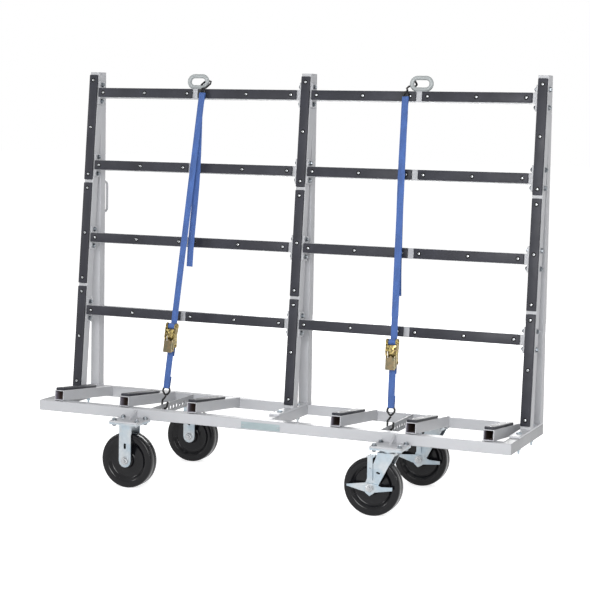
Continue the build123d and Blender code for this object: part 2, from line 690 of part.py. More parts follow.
def wrap_turns():
    return [(WRAP_START + turn * WRAP_PITCH / 2, 180) for turn in range(WRAP_HALF_TURNS)]


def main_path(upper_eye):
    """Wound on the spindle, up to the upper eye, over its wire and back down the sewn stretch."""
    slant = radians(SEWN_ANGLE)
    shift = EYE_LOOP * (1 + cos(slant)) - WEBBING_THICK - SEWN_GAP - SEWN_BEND * (1 - cos(slant))
    slope = shift / sin(slant)
    used = EYE_LOOP * sin(slant) + slope * cos(slant) + SEWN_BEND * sin(slant)
    moves = wrap_turns()
    moves.append((upper_eye - SPINDLE_RISE,))
    moves.append((EYE_LOOP, -180 - SEWN_ANGLE))
    moves.append((slope,))
    moves.append((SEWN_BEND, SEWN_ANGLE))
    moves.append((SEWN_LENGTH - used,))
    return turtle((SPINDLE_Y + WRAP_START, SPINDLE_RISE), 90, moves)


def short_path():
    """Round the ratchet's anchor pin, down to the lower eye and round its wire."""
    moves = [
        (LOOP_LENGTH,),
        (ANCHOR_LOOP, 180),
        (SPINDLE_RISE - ANCHOR_DROP - LOWER_EYE,),
        (EYE_LOOP, 180),
        (LOOP_LENGTH,),
    ]
    return turtle((ANCHOR_Y + ANCHOR_LOOP, SPINDLE_RISE - ANCHOR_DROP - LOOP_LENGTH), 90, moves)


def winding_gap(upper_eye):
    """Least gap between the wound webbing and itself, measured on points of its middle line."""
    wound = main_path(upper_eye).order_edges()[: WRAP_HALF_TURNS + 1]
    points = []
    for number, edge in enumerate(wound):
        count = int(min(edge.length, PULL_STRETCH) / GAP_STEP)
        points.extend((number, edge @ (step * GAP_STEP / edge.length)) for step in range(count))
    apart = [
        (first - second).length
        for index, first in points
        for other, second in points
        if other - index > 1
    ]
    return min(apart) - WEBBING_THICK


def tail_path(pull):
    """Loose end from the sewn stretch: along the leaning pads, then nearly straight down."""
    spread = pull.lean - LEAN
    drop = LEAN - TAIL_HANG
    free = pull.tail_length - TAIL_BEND * radians(spread + drop)
    laid = free * TAIL_SHARE
    moves = [(TAIL_BEND, spread), (laid,), (TAIL_BEND, drop), (free - laid,)]
    end = -EYE_LOOP + WEBBING_THICK + SEWN_GAP
    return turtle((end, pull.upper_eye - SEWN_LENGTH), -90, moves)


def across(radius, half_length):
    """Pin or hole along X through the origin."""
    return Rot(0, 90, 0) * Cylinder(radius, 2 * half_length)


def slab(outline, inner, outer):
    """Pair of plates with one outline in the YZ plane, from inner to outer on both sides of X = 0."""
    thick = outer - inner
    one = extrude(Plane.YZ * outline, thick / 2, both=True)
    return Pos((inner + outer) / 2, 0, 0) * one + Pos(-(inner + outer) / 2, 0, 0) * one


def ratchet_frame():
    """Folded frame: two cheeks joined by a back wall, with the anchor pin riveted across the foot."""
    foot = Pos(*ANCHOR) * round_face(ANCHOR_EAR)
    outline = make_hull(round_face(EAR_RADIUS).edges() + foot.edges())
    wound = round_room(WRAP_START + WRAP_HALF_TURNS * WRAP_PITCH / 2 + WEBBING_THICK)
    looped = Pos(*ANCHOR) * round_room(ANCHOR_EAR + WEBBING_THICK)
    hollow = Pos(-CHEEK_THICK, 0) * outline + wound + looped
    body = extrude(Plane.YZ * outline, CHEEK_OUTER, both=True)
    body -= extrude(Plane.YZ * hollow, CHEEK_INNER, both=True)
    pin = extrude(Plane.YZ * Pos(*ANCHOR) * round_face(ANCHOR_RADIUS), CHEEK_OUTER + CHEEK_THICK, both=True)
    return body + pin - across(SPINDLE_RADIUS + RUNNING, LEVER_OUTER)


def ratchet_spindle():
    """Slotted take-up spindle with a saw-toothed cog outside each cheek."""
    step = 360 / COG_TEETH
    points = []
    for tooth in range(COG_TEETH):
        points.append(Vector(COG_RADIUS, 0).rotate(Axis.Z, tooth * step))
        points.append(Vector(COG_ROOT, 0).rotate(Axis.Z, (tooth + COG_RAKE) * step))
    cogs = slab(Polygon(*points, align=None), CHEEK_OUTER + CLEAR, COG_OUTER)
    bar = across(SPINDLE_RADIUS, LEVER_OUTER + LEVER_THICK)
    return bar + cogs - Box(2 * CHEEK_INNER, SPINDLE_SLOT, 4 * SPINDLE_RADIUS)


def ratchet_handle():
    """Lever folded down over the frame: two cheeks about the spindle and the grip plate between them."""
    grip = Pos(-GRIP_FRONT, -LEVER_LENGTH) * Rectangle(GRIP_DEPTH, GRIP_LENGTH, align=Align.MIN)
    outline = make_hull(round_face(LEVER_EAR).edges() + grip.edges())
    guide = Pos(-RELEASE_FRONT - CLEAR, -RELEASE_FOOT - RELEASE_TRAVEL - CLEAR) * Rectangle(
        RELEASE_THICK + 2 * CLEAR, RELEASE_TAB + RELEASE_TRAVEL + 2 * CLEAR, align=Align.MIN
    )
    cheeks = slab(outline - guide, LEVER_INNER, LEVER_OUTER)
    plate = Pos(0, -GRIP_FRONT, -LEVER_LENGTH) * Box(
        2 * LEVER_OUTER, LEVER_THICK, GRIP_LENGTH, align=(Align.CENTER, Align.MIN, Align.MIN)
    )
    return cheeks + plate - across(SPINDLE_RADIUS + RUNNING, 2 * LEVER_OUTER)


def ratchet_release():
    """Sprung release bar that slides in the handle's guides away from the cogs."""
    low = (Align.CENTER, Align.MIN, Align.MIN)
    body = Box(2 * (LEVER_INNER - CLEAR), RELEASE_THICK, RELEASE_FOOT - RELEASE_HEAD, align=low)
    tabs = Box(2 * LEVER_OUTER, RELEASE_THICK, RELEASE_TAB, align=low)
    return Pos(0, -RELEASE_FRONT, -RELEASE_FOOT) * (body + tabs)


def make_straps():
    for side, pull in PULLS.items():
        keep("strap_hooks", upper_hook(pull), pull.place * lower_hook())
        wound = webbing(main_path(pull.upper_eye))
        keep(f"{side}_strap", pull.place * wound, pull.place * webbing(short_path()))
        keep(f"{side}_strap_tail", pull.place * webbing(tail_path(pull)))
        keep(f"{side}_ratchet_frame", pull.spindle * ratchet_frame())
        keep(f"{side}_ratchet_spindle", pull.spindle * ratchet_spindle())
        keep(f"{side}_ratchet_handle", pull.spindle * ratchet_handle())
        keep(f"{side}_ratchet_release", pull.spindle * ratchet_release())


make_deck()
make_supports()
make_back()
make_fittings()
make_casters()
make_straps()

print(f"Winding: least gap to itself {winding_gap(PULLS['left'].upper_eye):.2f} mm")
print(f"Strap tails: {TAIL_BEND:.0f} mm bend radius, {WEBBING_THICK:.1f} mm webbing")

os.makedirs("parts", exist_ok=True)
for name, solids in nodes.items():
    export_step(Compound(solids), f"parts/{name}.step")
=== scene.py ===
import json
import math

import bmesh
import bpy
from bpy.props import FloatProperty, FloatVectorProperty, IntProperty, PointerProperty
from mathutils import Matrix, Vector
from mathutils.geometry import convex_hull_2d


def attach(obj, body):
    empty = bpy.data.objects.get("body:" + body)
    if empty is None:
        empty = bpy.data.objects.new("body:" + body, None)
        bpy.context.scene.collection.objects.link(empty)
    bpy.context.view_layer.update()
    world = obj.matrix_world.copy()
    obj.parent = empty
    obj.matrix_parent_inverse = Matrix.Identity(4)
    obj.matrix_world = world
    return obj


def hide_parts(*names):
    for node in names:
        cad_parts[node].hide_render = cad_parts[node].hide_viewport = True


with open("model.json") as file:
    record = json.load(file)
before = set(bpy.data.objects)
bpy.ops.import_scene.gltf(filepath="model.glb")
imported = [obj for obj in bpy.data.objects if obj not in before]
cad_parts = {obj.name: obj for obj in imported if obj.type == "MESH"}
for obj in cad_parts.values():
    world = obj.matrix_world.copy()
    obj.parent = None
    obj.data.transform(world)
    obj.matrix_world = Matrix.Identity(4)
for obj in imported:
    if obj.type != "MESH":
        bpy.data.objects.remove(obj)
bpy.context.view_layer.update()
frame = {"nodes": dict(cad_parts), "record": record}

bl_info = {
    "name": "Sheet cart",
    "version": (1, 0, 0),
    "blender": (4, 5, 0),
    "location": "View3D > Sidebar > Cart",
    "description": "Finishes and fine pieces of a cart for sheet stock",
    "category": "Object",
}

# Places on the frame, in metres. Left and right are as seen from the front, which faces -Y.
AHEAD = Vector((0.0, -1.0, 0.0))
UP = Vector((0.0, 0.0, 1.0))
RIGHT = Vector((1.0, 0.0, 0.0))
TUBE = 0.0381
TUBE_BORE = 0.0321
DECK_FRONT = -0.20955
DECK_REAR = 0.20955
DECK_TOP = 0.2794
DECK_BOTTOM = 0.2413
FOOT_TOP = 0.28575
UPRIGHTS = (-0.89535, 0.0, 0.89535)
BAY = 0.447675
BAR_DEPTH = 0.02855
BAR_FIRST = 0.2993
BAR_PITCH = 0.2822
BAR_ROWS = 4
BAR_TOP = BAR_FIRST + (BAR_ROWS - 1) * BAR_PITCH + TUBE / 2.0
LEAN = math.radians(5.5)
BACK = Matrix.Translation((0.0, 0.02645, 0.29805)) @ Matrix.Rotation(-LEAN, 4, "X")
SUPPORT = Matrix.Translation((0.0, DECK_FRONT + TUBE, DECK_TOP)) @ Matrix.Rotation(-LEAN, 4, "X")
SUPPORT_SPOTS = (-0.833, -0.557, -0.280, 0.280, 0.557, 0.833)
SUPPORT_NOSE = 0.036
SUPPORT_PAD_SETBACK = 0.004
SUPPORT_PAD_LENGTH = 0.246
LEG_PAD_LENGTHS = (0.3905, 0.392, 0.4085)
LEG_PAD_GAP = 0.0117
BAR_PAD_START = 0.030
BAR_PAD_GAP = 0.023
BAR_PAD_SHIFT = -0.005
PAD_WIDTH = 0.035
PAD_THICK = 0.0095
PLATE_TOP = 0.24765
PLATE_UNDER = 0.23495
CASTER_X = 0.503
CASTER_Y = 0.26035
CASTER_ENDS = (("front", -CASTER_Y), ("rear", CASTER_Y))
TRAIL = 0.057
AXLE_HEIGHT = 0.1016
RING_WIDTH = 0.090
RING_HEIGHT = 0.058
RING_BAR = 0.016
RING_SHIFT = -0.005
RING_STRAIGHT = RING_WIDTH - RING_HEIGHT
RING_BEND = (RING_HEIGHT - RING_BAR) / 2.0
HANDLE_HEIGHT = 1.028
HANDLE_SPAN = 0.118
HANDLE_REACH = 0.048
HANDLE_BEND = 0.016
TIE_BAR_SHIFT = -0.013
TIE_HOLE_USED = Vector((0.0, DECK_FRONT + TUBE + 0.1009, 0.26235))
LABEL_CENTRE = Vector((-0.005, DECK_FRONT, 0.258))

# Places along a strap, in its own frame: Y into the cart, Z up the pull
STRAPS = ("left", "right")
LOWER_EYE = 0.080
EYE_HEIGHT = 0.018
SPINDLE_RISE = 0.309
SPINDLE_RADIUS = 0.006
WRAP_HALF_TURNS = 4
WRAP_PITCH = 0.0023
ANCHOR_RISE = SPINDLE_RISE - 0.072
ANCHOR_RADIUS = 0.004
HOOK_NECKS = {"left": 0.009, "right": 0.026}
GRIP_TURNS = {"left": math.radians(45.0), "right": math.radians(20.0)}
EYE_WIRE = 0.0064
HOOK_OVERHANG = 0.008
CLEAR = 0.0003
SEWN_LENGTH = 0.085
SEWN_ANGLE = math.radians(12.0)
SEWN_BEND = 0.060
SEWN_GAP = 0.0002
LOOP_LENGTH = 0.040
TAIL_LENGTHS = {"left": 0.570, "right": 0.628}
TAIL_BEND = 0.500
TAIL_HANG = math.radians(1.4)
TAIL_SHARE = 0.86


def size(name, description, default):
    return FloatProperty(name=name, description=description, default=default, unit="LENGTH")


def tint(name, description, *default):
    return FloatVectorProperty(
        name=name, description=description, subtype="COLOR", size=4, default=(*default, 1.0)
    )


class CartSizes(bpy.types.PropertyGroup):
    """Sizes of the fine pieces"""

    pad_edge: size("Pad edge", "Rounding of the rubber pads", 0.0024)
    pad_screw: size("Pad screw", "Head radius of the pad screws", 0.0046)
    # Radius of the dark ring round each pad screw, which is painted shade of its recess
    pad_sink: size("Screw sink", "Radius of the dished ring round a pad screw", 0.0078)
    bolt_head: size("Bolt head", "Radius of the bolt heads and nuts", 0.0082)
    bolt_thick: size("Bolt thickness", "Thickness of the bolt heads and nuts", 0.0062)
    webbing_width: size("Webbing width", "Width of the straps", 0.0254)
    webbing_thick: size("Webbing thickness", "Thickness of the straps", 0.0018)
    hook_wire: size("Hook wire", "Diameter of the hooks", 0.0074)
    stitch: size("Stitch", "Length of a stitch", 0.0036)
    label_length: size("Label length", "Length of the bare plate on the front rail", 0.150)
    label_height: size("Label height", "Height of the bare plate", 0.024)
    wheel_steps: IntProperty(name="Wheel steps", description="Steps round a wheel", default=96)


class CartColours(bpy.types.PropertyGroup):
    """Colours of the finishes, in linear light"""

    paint: tint("Paint", "Light grey powder coat", 0.452, 0.459, 0.481)
    ring: tint("Ring", "Dull grey of the tie rings", 0.36, 0.385, 0.39)
    rubber: tint("Rubber", "Charcoal rubber", 0.0155, 0.0165, 0.0245)
    wheel: tint("Wheel", "Black moulded wheel", 0.006, 0.006, 0.0075)
    zinc: tint("Zinc", "Bright zinc plating", 0.37, 0.435, 0.485)
    gold: tint("Yellow zinc", "Yellow zinc plating", 0.52, 0.42, 0.16)
    webbing: tint("Webbing", "Blue webbing", 0.050, 0.120, 0.365)
    hook: tint("Hook", "Black coated wire", 0.005, 0.005, 0.006)
    label: tint("Label", "Bare pale plate", 0.31, 0.38, 0.40)


def sizes():
    return bpy.context.scene.cart_sizes


def finish_piece(name, mesh, slot, body, sharp, replaced=None):
    """Object for a finished mesh, smooth except at its sharp edges, on a body. The slot is not used."""
    mesh.shade_smooth()
    mesh.set_sharp_from_angle(angle=math.radians(sharp))
    piece = bpy.data.objects.new(name, mesh)
    bpy.context.scene.collection.objects.link(piece)
    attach(piece, body)
    if replaced:
        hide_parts(replaced)
    return piece


def new_piece(name, fill, finish, slot, body="cart_frame", sharp=35.0, replaced=None):
    """Finished piece from a function that fills a bmesh."""
    shape = bmesh.new()
    fill(shape)
    bmesh.ops.recalc_face_normals(shape, faces=shape.faces)
    mesh = bpy.data.meshes.new(name)
    shape.to_mesh(mesh)
    shape.free()
    mesh.materials.append(FINISHES[finish])
    return finish_piece(name, mesh, slot, body, sharp, replaced)


def circle(radius, steps):
    """Points (x, y) round a circle."""
    turns = [2.0 * math.pi * step / steps for step in range(steps)]
    return [(radius * math.cos(turn), radius * math.sin(turn)) for turn in turns]


def new_ring(shape, spots):
    return [shape.verts.new(spot) for spot in spots]


def bridge(shape, rings, closed=False, capped=False):
    """Faces from each ring to the next one, and back to the first or with capped ends."""
    faces = []
    for low, high in zip(rings, rings[1:] + rings[:1] if closed else rings[1:]):
        for step in range(len(low)):
            after = (step + 1) % len(low)
            faces.append(shape.faces.new((low[step], low[after], high[after], high[step])))
    if capped:
        faces += [shape.faces.new(ring) for ring in (rings[0], rings[-1])]
    return faces


def turned_ring(shape, profile, place, steps):
    """Ring turned about Z from a closed loop of (radius, height) points."""
    rings = []
    for radius, height in profile:
        spots = [place @ Vector((x, y, height)) for x, y in circle(radius, steps)]
        rings.append(new_ring(shape, spots))
    bridge(shape, rings, closed=True)


def round_corners(points, radii, step=math.radians(10.0)):
    """Polyline with each inner corner rounded to its radius."""
    rounded = [points[0]]
    for before, corner, after, radius in zip(points, points[1:], points[2:], radii):
        inward = (before - corner).normalized()
        onward = (after - corner).normalized()
        opening = inward.angle(onward)
        setback = radius / math.tan(opening / 2.0)
        centre = corner + (inward + onward).normalized() * (radius / math.sin(opening / 2.0))
        first = corner + inward * setback - centre
        axis = first.cross(corner + onward * setback - centre).normalized()
        turn = math.pi - opening
        count = max(2, math.ceil(turn / step))
        for part in range(count + 1):
            rounded.append(centre + Matrix.Rotation(turn * part / count, 3, axis) @ first)
    rounded.append(points[-1])
    return rounded


# Rings of a rod's domed end, as shares of its radius: how wide, and how far past the end
DOME = ((0.85, 0.16), (0.55, 0.30))


def bent_rod(shape, points, radius, sides=18, closed=False):
    """Round bar along points, carried without twist, with domed ends where it is open."""
    count = len(points)
    stations = []
    across = None
    for index, point in enumerate(points):
        before = points[index - 1] if closed or index else point
        after = points[(index + 1) % count] if closed or index < count - 1 else point
        along = (after - before).normalized()
        if across is None:
            across = along.orthogonal().normalized()
        across = (across - along * across.dot(along)).normalized()
        stations.append((point, across.copy(), along.cross(across), radius))
        if not closed and index in (0, count - 1):
            way = along if index else -along
            dome = [
                (point + way * (radius * past), across.copy(), along.cross(across), radius * wide)
                for wide, past in DOME
            ]
            stations = stations + dome if index else dome[::-1] + stations
    rings = []
    for point, side, upward, wide in stations:
        rings.append(new_ring(shape, [point + side * x + upward * y for x, y in circle(wide, sides)]))
    bridge(shape, rings, closed, not closed)


def rounded_block(shape, place, lengths, edge, steps=3):
    """Block with all its edges rounded, centred on its place."""
    made = bmesh.ops.create_cube(shape, size=1.0)
    bmesh.ops.transform(shape, matrix=place @ Matrix.Diagonal((*lengths, 1.0)), verts=made["verts"])
    edges = list({edge_ for vert in made["verts"] for edge_ in vert.link_edges})
    bmesh.ops.bevel(shape, geom=edges, offset=edge, segments=steps, profile=0.5, affect="EDGES")


GROUPS = {}
FINISHES = {}
SOCKET_KINDS = {
    "Vector": "NodeSocketVector",
    "UV": "NodeSocketVector",
    "Normal": "NodeSocketVector",
    "Colour": "NodeSocketColor",
    "Geometry": "NodeSocketGeometry",
    "Finish": "NodeSocketMaterial",
}


class Graph:
    """Node tree with short ways to add and feed its nodes."""

    def __init__(self, tree):
        self.tree = tree

    def socket(self, label, way, value=None):
        """Socket of a group; a label without a kind of its own is a plain number."""
        kind = SOCKET_KINDS.get(label, "NodeSocketFloat")
        made = self.tree.interface.new_socket(name=label, in_out=way, socket_type=kind)
        if value is not None:
            made.default_value = value

    def feed(self, socket, value):
        """Input linked to another socket or set to a value."""
        if isinstance(value, bpy.types.NodeSocket):
            self.tree.links.new(value, socket)
        else:
            socket.default_value = value

    def node(self, kind, feeds=None, **settings):
        made = self.tree.nodes.new(kind)
        for key, value in settings.items():
            setattr(made, key, value)
        for key, value in (feeds or {}).items():
            self.feed(made.inputs[key], value)
        return made

    def calc(self, operation, *values, clamp=False):
        feeds = dict(enumerate(values))
        return self.node("ShaderNodeMath", feeds, operation=operation, use_clamp=clamp).outputs[0]

    def times(self, first, second, clamp=False):
        return self.calc("MULTIPLY", first, second, clamp=clamp)

    def plus(self, first, second, clamp=False):
        return self.calc("ADD", first, second, clamp=clamp)

    def wave(self, value, per_unit=math.pi):
        return self.calc("SINE", self.times(value, per_unit))

    def mix(self, share, first, second, blend="MIX"):
        feeds = {0: share, 6: first, 7: second}
        return self.node("ShaderNodeMix", feeds, data_type="RGBA", blend_type=blend).outputs[2]

    def shaded(self, colour, shade):
        """Colour times a grey."""
        grey = self.node("ShaderNodeCombineColor", {0: shade, 1: shade, 2: shade})
        return self.mix(1.0, colour, grey.outputs[0], "MULTIPLY")

    def noise(self, vector, scale, detail=3.0, roughness=0.55):
        feeds = {"Vector": vector, "Scale": scale, "Detail": detail, "Roughness": roughness}
        return self.node("ShaderNodeTexNoise", feeds).outputs["Fac"]

    def stretched(self, vector, scale):
        """Coordinates scaled along the axes."""
        return self.node("ShaderNodeMapping", {"Vector": vector, "Scale": scale}).outputs["Vector"]

    def split(self, vector):
        return self.node("ShaderNodeSeparateXYZ", {0: vector}).outputs

    def ranged(self, value, low, high, to_low=0.0, to_high=1.0):
        """Value brought from one range to another, and kept in it."""
        feeds = {"Value": value, "From Min": low, "From Max": high, "To Min": to_low, "To Max": to_high}
        return self.node("ShaderNodeMapRange", feeds, clamp=True).outputs["Result"]

    def bump(self, height, strength, distance, **more):
        feeds = {"Height": height, "Strength": strength, "Distance": distance, **more}
        return self.node("ShaderNodeBump", feeds).outputs["Normal"]

    def place(self):
        return self.node("ShaderNodeTexCoord").outputs["Object"]

    def group(self, name, vector, **feeds):
        """Outputs of a shared group, fed with coordinates and values."""
        return self.node("ShaderNodeGroup", {0: vector, **feeds}, node_tree=GROUPS[name]).outputs

    def shade(self, tone, normal, **feeds):
        """Feed the material's shader; a key's underlines stand for spaces."""
        inputs = self.tree.nodes["Principled BSDF"].inputs
        self.feed(inputs["Base Color"], tone["Colour"])
        self.feed(inputs["Roughness"], tone["Roughness"])
        self.feed(inputs["Normal"], normal)
        for key, value in feeds.items():
            self.feed(inputs[key.replace("_", " ")], value)


def new_group(name, outputs, **inputs):
    """Shared shader group; returns its graph and the sockets that it starts from."""
    graph = Graph(bpy.data.node_groups.new(name, "ShaderNodeTree"))
    for label, value in inputs.items():
        graph.socket(label, "INPUT", value)
    for label in outputs:
        graph.socket(label, "OUTPUT")
    GROUPS[name] = graph.tree
    return graph, graph.node("NodeGroupInput").outputs


CLOUD_SHARE = 0.75
SPECK_SCALE = 900.0


def mottle_group():
    """Cloudy change of tone and gloss with fine specks."""
    values = {"Scale": 6.0, "Amount": 0.1, "Roughness": 0.45, "Spread": 0.15}
    graph, start = new_group("Mottle", ("Colour", "Roughness"), Vector=None, Colour=None, **values)
    cloud = graph.times(graph.noise(start["Vector"], start["Scale"], 5.0), CLOUD_SHARE)
    specks = graph.times(graph.noise(start["Vector"], SPECK_SCALE, 2.0), 1.0 - CLOUD_SHARE)
    mask = graph.ranged(graph.plus(cloud, specks), 0.3, 0.7)
    shade = graph.calc("SUBTRACT", 1.0, graph.times(mask, start["Amount"]))
    swing = graph.times(graph.calc("SUBTRACT", mask, 0.5), start["Spread"])
    ends = {
        "Colour": graph.shaded(start["Colour"], shade),
        "Roughness": graph.plus(start["Roughness"], swing),
    }
    graph.node("NodeGroupOutput", ends)


GRAIN_DEPTH = 0.0002


def grain_group():
    """Fine relief, such as the skin of powder coat or moulded rubber, with eased edges."""
    values = {"Scale": 600.0, "Strength": 0.15, "Edge": 0.0}
    graph, start = new_group("Grain", ("Normal",), Vector=None, **values)
    relief = graph.noise(start["Vector"], start["Scale"], 2.0)
    eased = graph.node("ShaderNodeBevel", {"Radius": start["Edge"]}, samples=6).outputs["Normal"]
    normal = graph.bump(relief, start["Strength"], GRAIN_DEPTH, Normal=eased)
    graph.node("NodeGroupOutput", {"Normal": normal})


STREAKS = ((5.0, 5.0, 40.0), (40.0, 5.0, 6.0))
PATCH_SCALE = 9.0
DUST_SHARE = 0.25


def scuff_group():
    """Pale rubbed streaks and dust, as a mask."""
    graph, start = new_group("Scuffs", ("Mask",), Vector=None, Scale=14.0)
    streaks = []
    for stretch in STREAKS:
        cloud = graph.noise(graph.stretched(start["Vector"], stretch), start["Scale"], 4.0)
        streaks.append(graph.ranged(cloud, 0.60, 0.78))
    patch = graph.ranged(graph.noise(start["Vector"], PATCH_SCALE, 4.0), 0.42, 0.72)
    lines = graph.times(graph.calc("MAXIMUM", *streaks), patch)
    mask = graph.plus(lines, graph.times(patch, DUST_SHARE), clamp=True)
    graph.node("NodeGroupOutput", {"Mask": mask})


# Sizes of the weave in millimetres, and how far its picks lean across the ribs
RIB_MM = 1.9
PICK_MM = 1.5
WALE_MM = 5.5
PICK_LEAN = 0.35
WEAVE_DEPTH = 0.0004


def weave_group():
    """Ribbed twill of flat webbing on a UV map in millimetres: U across, V along."""
    outputs = ("Colour", "Normal", "Roughness")
    graph, start = new_group("Webbing weave", outputs, UV=None, Colour=None, Rib=RIB_MM, Pick=PICK_MM)
    across, along, _ = graph.split(start["UV"])
    column = graph.calc("DIVIDE", across, start["Rib"])
    rib = graph.calc("ABSOLUTE", graph.wave(column))
    step = graph.times(graph.calc("FLOOR", column), 0.5)
    row = graph.plus(graph.calc("DIVIDE", along, start["Pick"]), step)
    pick = graph.calc("ABSOLUTE", graph.wave(graph.plus(row, graph.times(column, PICK_LEAN))))
    # Colour follows the weave's height: painted shade in the grooves and painted highlight on the crowns
    height = graph.times(graph.calc("POWER", rib, 0.6), graph.plus(graph.times(pick, 0.6), 0.4))
    tone = graph.ranged(height, 0.15, 0.85)
    drift = graph.noise(graph.stretched(start["UV"], (0.05, 0.012, 1.0)), 1.0)
    worn = graph.ranged(drift, 0.35, 0.65, 0.82, 1.12)
    wale = graph.wave(graph.plus(across, along), 2.0 * math.pi / WALE_MM)
    twill = graph.times(worn, graph.ranged(wale, -1.0, 1.0, 0.80, 1.14))
    shade = graph.times(graph.ranged(tone, 0.0, 1.0, 0.55, 1.12), twill)
    ends = {
        "Colour": graph.shaded(start["Colour"], shade),
        "Normal": graph.bump(height, 0.7, WEAVE_DEPTH),
        "Roughness": graph.ranged(tone, 0.0, 1.0, 0.85, 0.62),
    }
    graph.node("NodeGroupOutput", ends)


def new_material(name):
    material = bpy.data.materials.new(name)
    material.use_nodes = True
    return material, Graph(material.node_tree)


def mottled(graph, place, scale, amount, roughness, spread, **feeds):
    feeds.update(Scale=scale, Amount=amount, Roughness=roughness, Spread=spread)
    return graph.group("Mottle", place, **feeds)


COAT_ROUGHNESS = 0.25


def coated(name, colour, mottle, grain, coat=0.0, gloss=0.5):
    """Mottled finish with a fine skin; the grain is its scale, strength and eased edge."""
    material, graph = new_material(name)
    place = graph.place()
    tone = mottled(graph, place, *mottle, Colour=colour)
    skin = graph.group("Grain", place, **dict(zip(("Scale", "Strength", "Edge"), grain)))
    more = {"Specular_IOR_Level": gloss, "Coat_Weight": coat, "Coat_Roughness": COAT_ROUGHNESS}
    graph.shade(tone, skin["Normal"], **more)
    return material


RUBBER_MOTTLE = (11.0, 0.35, 0.5, 0.2)
SCUFF_SHARE = 0.8
SCUFF_ROUGHER = 0.2
SCUFF_PALER = (2.6, 0.008)


def rubber(name, colour):
    """Rubber with pale scuffs where sheets have rubbed it."""
    material, graph = new_material(name)
    place = graph.place()
    tone = mottled(graph, place, *RUBBER_MOTTLE, Colour=colour)
    skin = graph.group("Grain", place, Scale=420.0, Strength=0.25)
    share = graph.times(graph.group("Scuffs", place)["Mask"], SCUFF_SHARE, clamp=True)
    scuffed = {
        "Colour": graph.mix(share, tone["Colour"], toned(colour, *SCUFF_PALER)),
        "Roughness": graph.plus(tone["Roughness"], graph.times(share, SCUFF_ROUGHER), clamp=True),
    }
    graph.shade(scuffed, skin["Normal"], Specular_IOR_Level=0.35)
    return material


MIST_REACH = 0.034
TUBE_MOTTLE = (30.0, 0.5, 0.75, 0.1)


def tube_inside(name, colour, mist):
    """Bare tube inside, dark as painted shade, with paint mist that fades away from the supports' open ends;
    the fade also paints the light falling off into the tube.
    """
    material, graph = new_material(name)
    place = graph.place()
    mouth = (SUPPORT @ Vector((0.0, -SUPPORT_NOSE, TUBE / 2.0))).y
    depth = graph.ranged(graph.split(place)[1], mouth, mouth + MIST_REACH)
    tone = mottled(graph, place, *TUBE_MOTTLE, Colour=graph.mix(depth, mist, colour))
    skin = graph.group("Grain", place, Scale=300.0, Strength=0.3)
    graph.shade(tone, skin["Normal"])
    return material


BRUSH_DEPTH = 0.0004
BRUSH_SCALE = 240.0
BRUSH_STRETCH = (1.0, 1.0, 9.0)


def plated(name, colour, other, scale, low, high, roughness):
    """Plated steel whose colour drifts between two tints, with fine brushing."""
    material, graph = new_material(name)
    place = graph.place()
    drift = graph.ranged(graph.noise(place, scale, 4.0, 0.6), low, high)
    tone = mottled(graph, place, 70.0, 0.16, roughness, 0.18, Colour=graph.mix(drift, colour, other))
    brushed = graph.noise(graph.stretched(place, BRUSH_STRETCH), BRUSH_SCALE)
    graph.shade(tone, graph.bump(brushed, 0.08, BRUSH_DEPTH), Metallic=1.0)
    return material


def woven(name, colour):
    material, graph = new_material(name)
    uv = graph.node("ShaderNodeUVMap", uv_map="webbing").outputs["UV"]
    weave = graph.group("Webbing weave", uv, Colour=colour)
    graph.shade(weave, weave["Normal"], Sheen_Weight=0.25, Sheen_Roughness=0.4)
    return material


def toned(colour, share, lift=0.0):
    """Colour made lighter or darker."""
    return tuple(min(1.0, part * share + lift) for part in colour[:3]) + (1.0,)


PAINT_GRAIN = (700.0, 0.12, 0.003)
PAINT_COAT = 0.12
ZINC_DRIFT = (0.47, 0.50, 0.52, 1.0)
# Dark brown that the yellow zinc drifts to in small patches, as painted reflections
GOLD_REFLECTION_DARK = (0.13, 0.095, 0.055, 1.0)
# Bolts of the cross bars and caster plates: the zinc darkened as painted shade
SHADED_BOLT_TINTS = ((0.19, 0.21, 0.23, 1.0), (0.28, 0.30, 0.32, 1.0))
BRONZE_TINTS = ((0.205, 0.155, 0.090, 1.0), (0.140, 0.130, 0.085, 1.0))
STEEL_TINTS = ((0.46, 0.47, 0.48, 1.0), (0.38, 0.40, 0.42, 1.0))
# Inside of the supports: bare steel darkened as painted shade, with paint mist at their open ends
SHADED_BARE_TUBE = (0.120, 0.080, 0.068, 1.0)
PAINT_MIST = (0.400, 0.380, 0.470, 1.0)


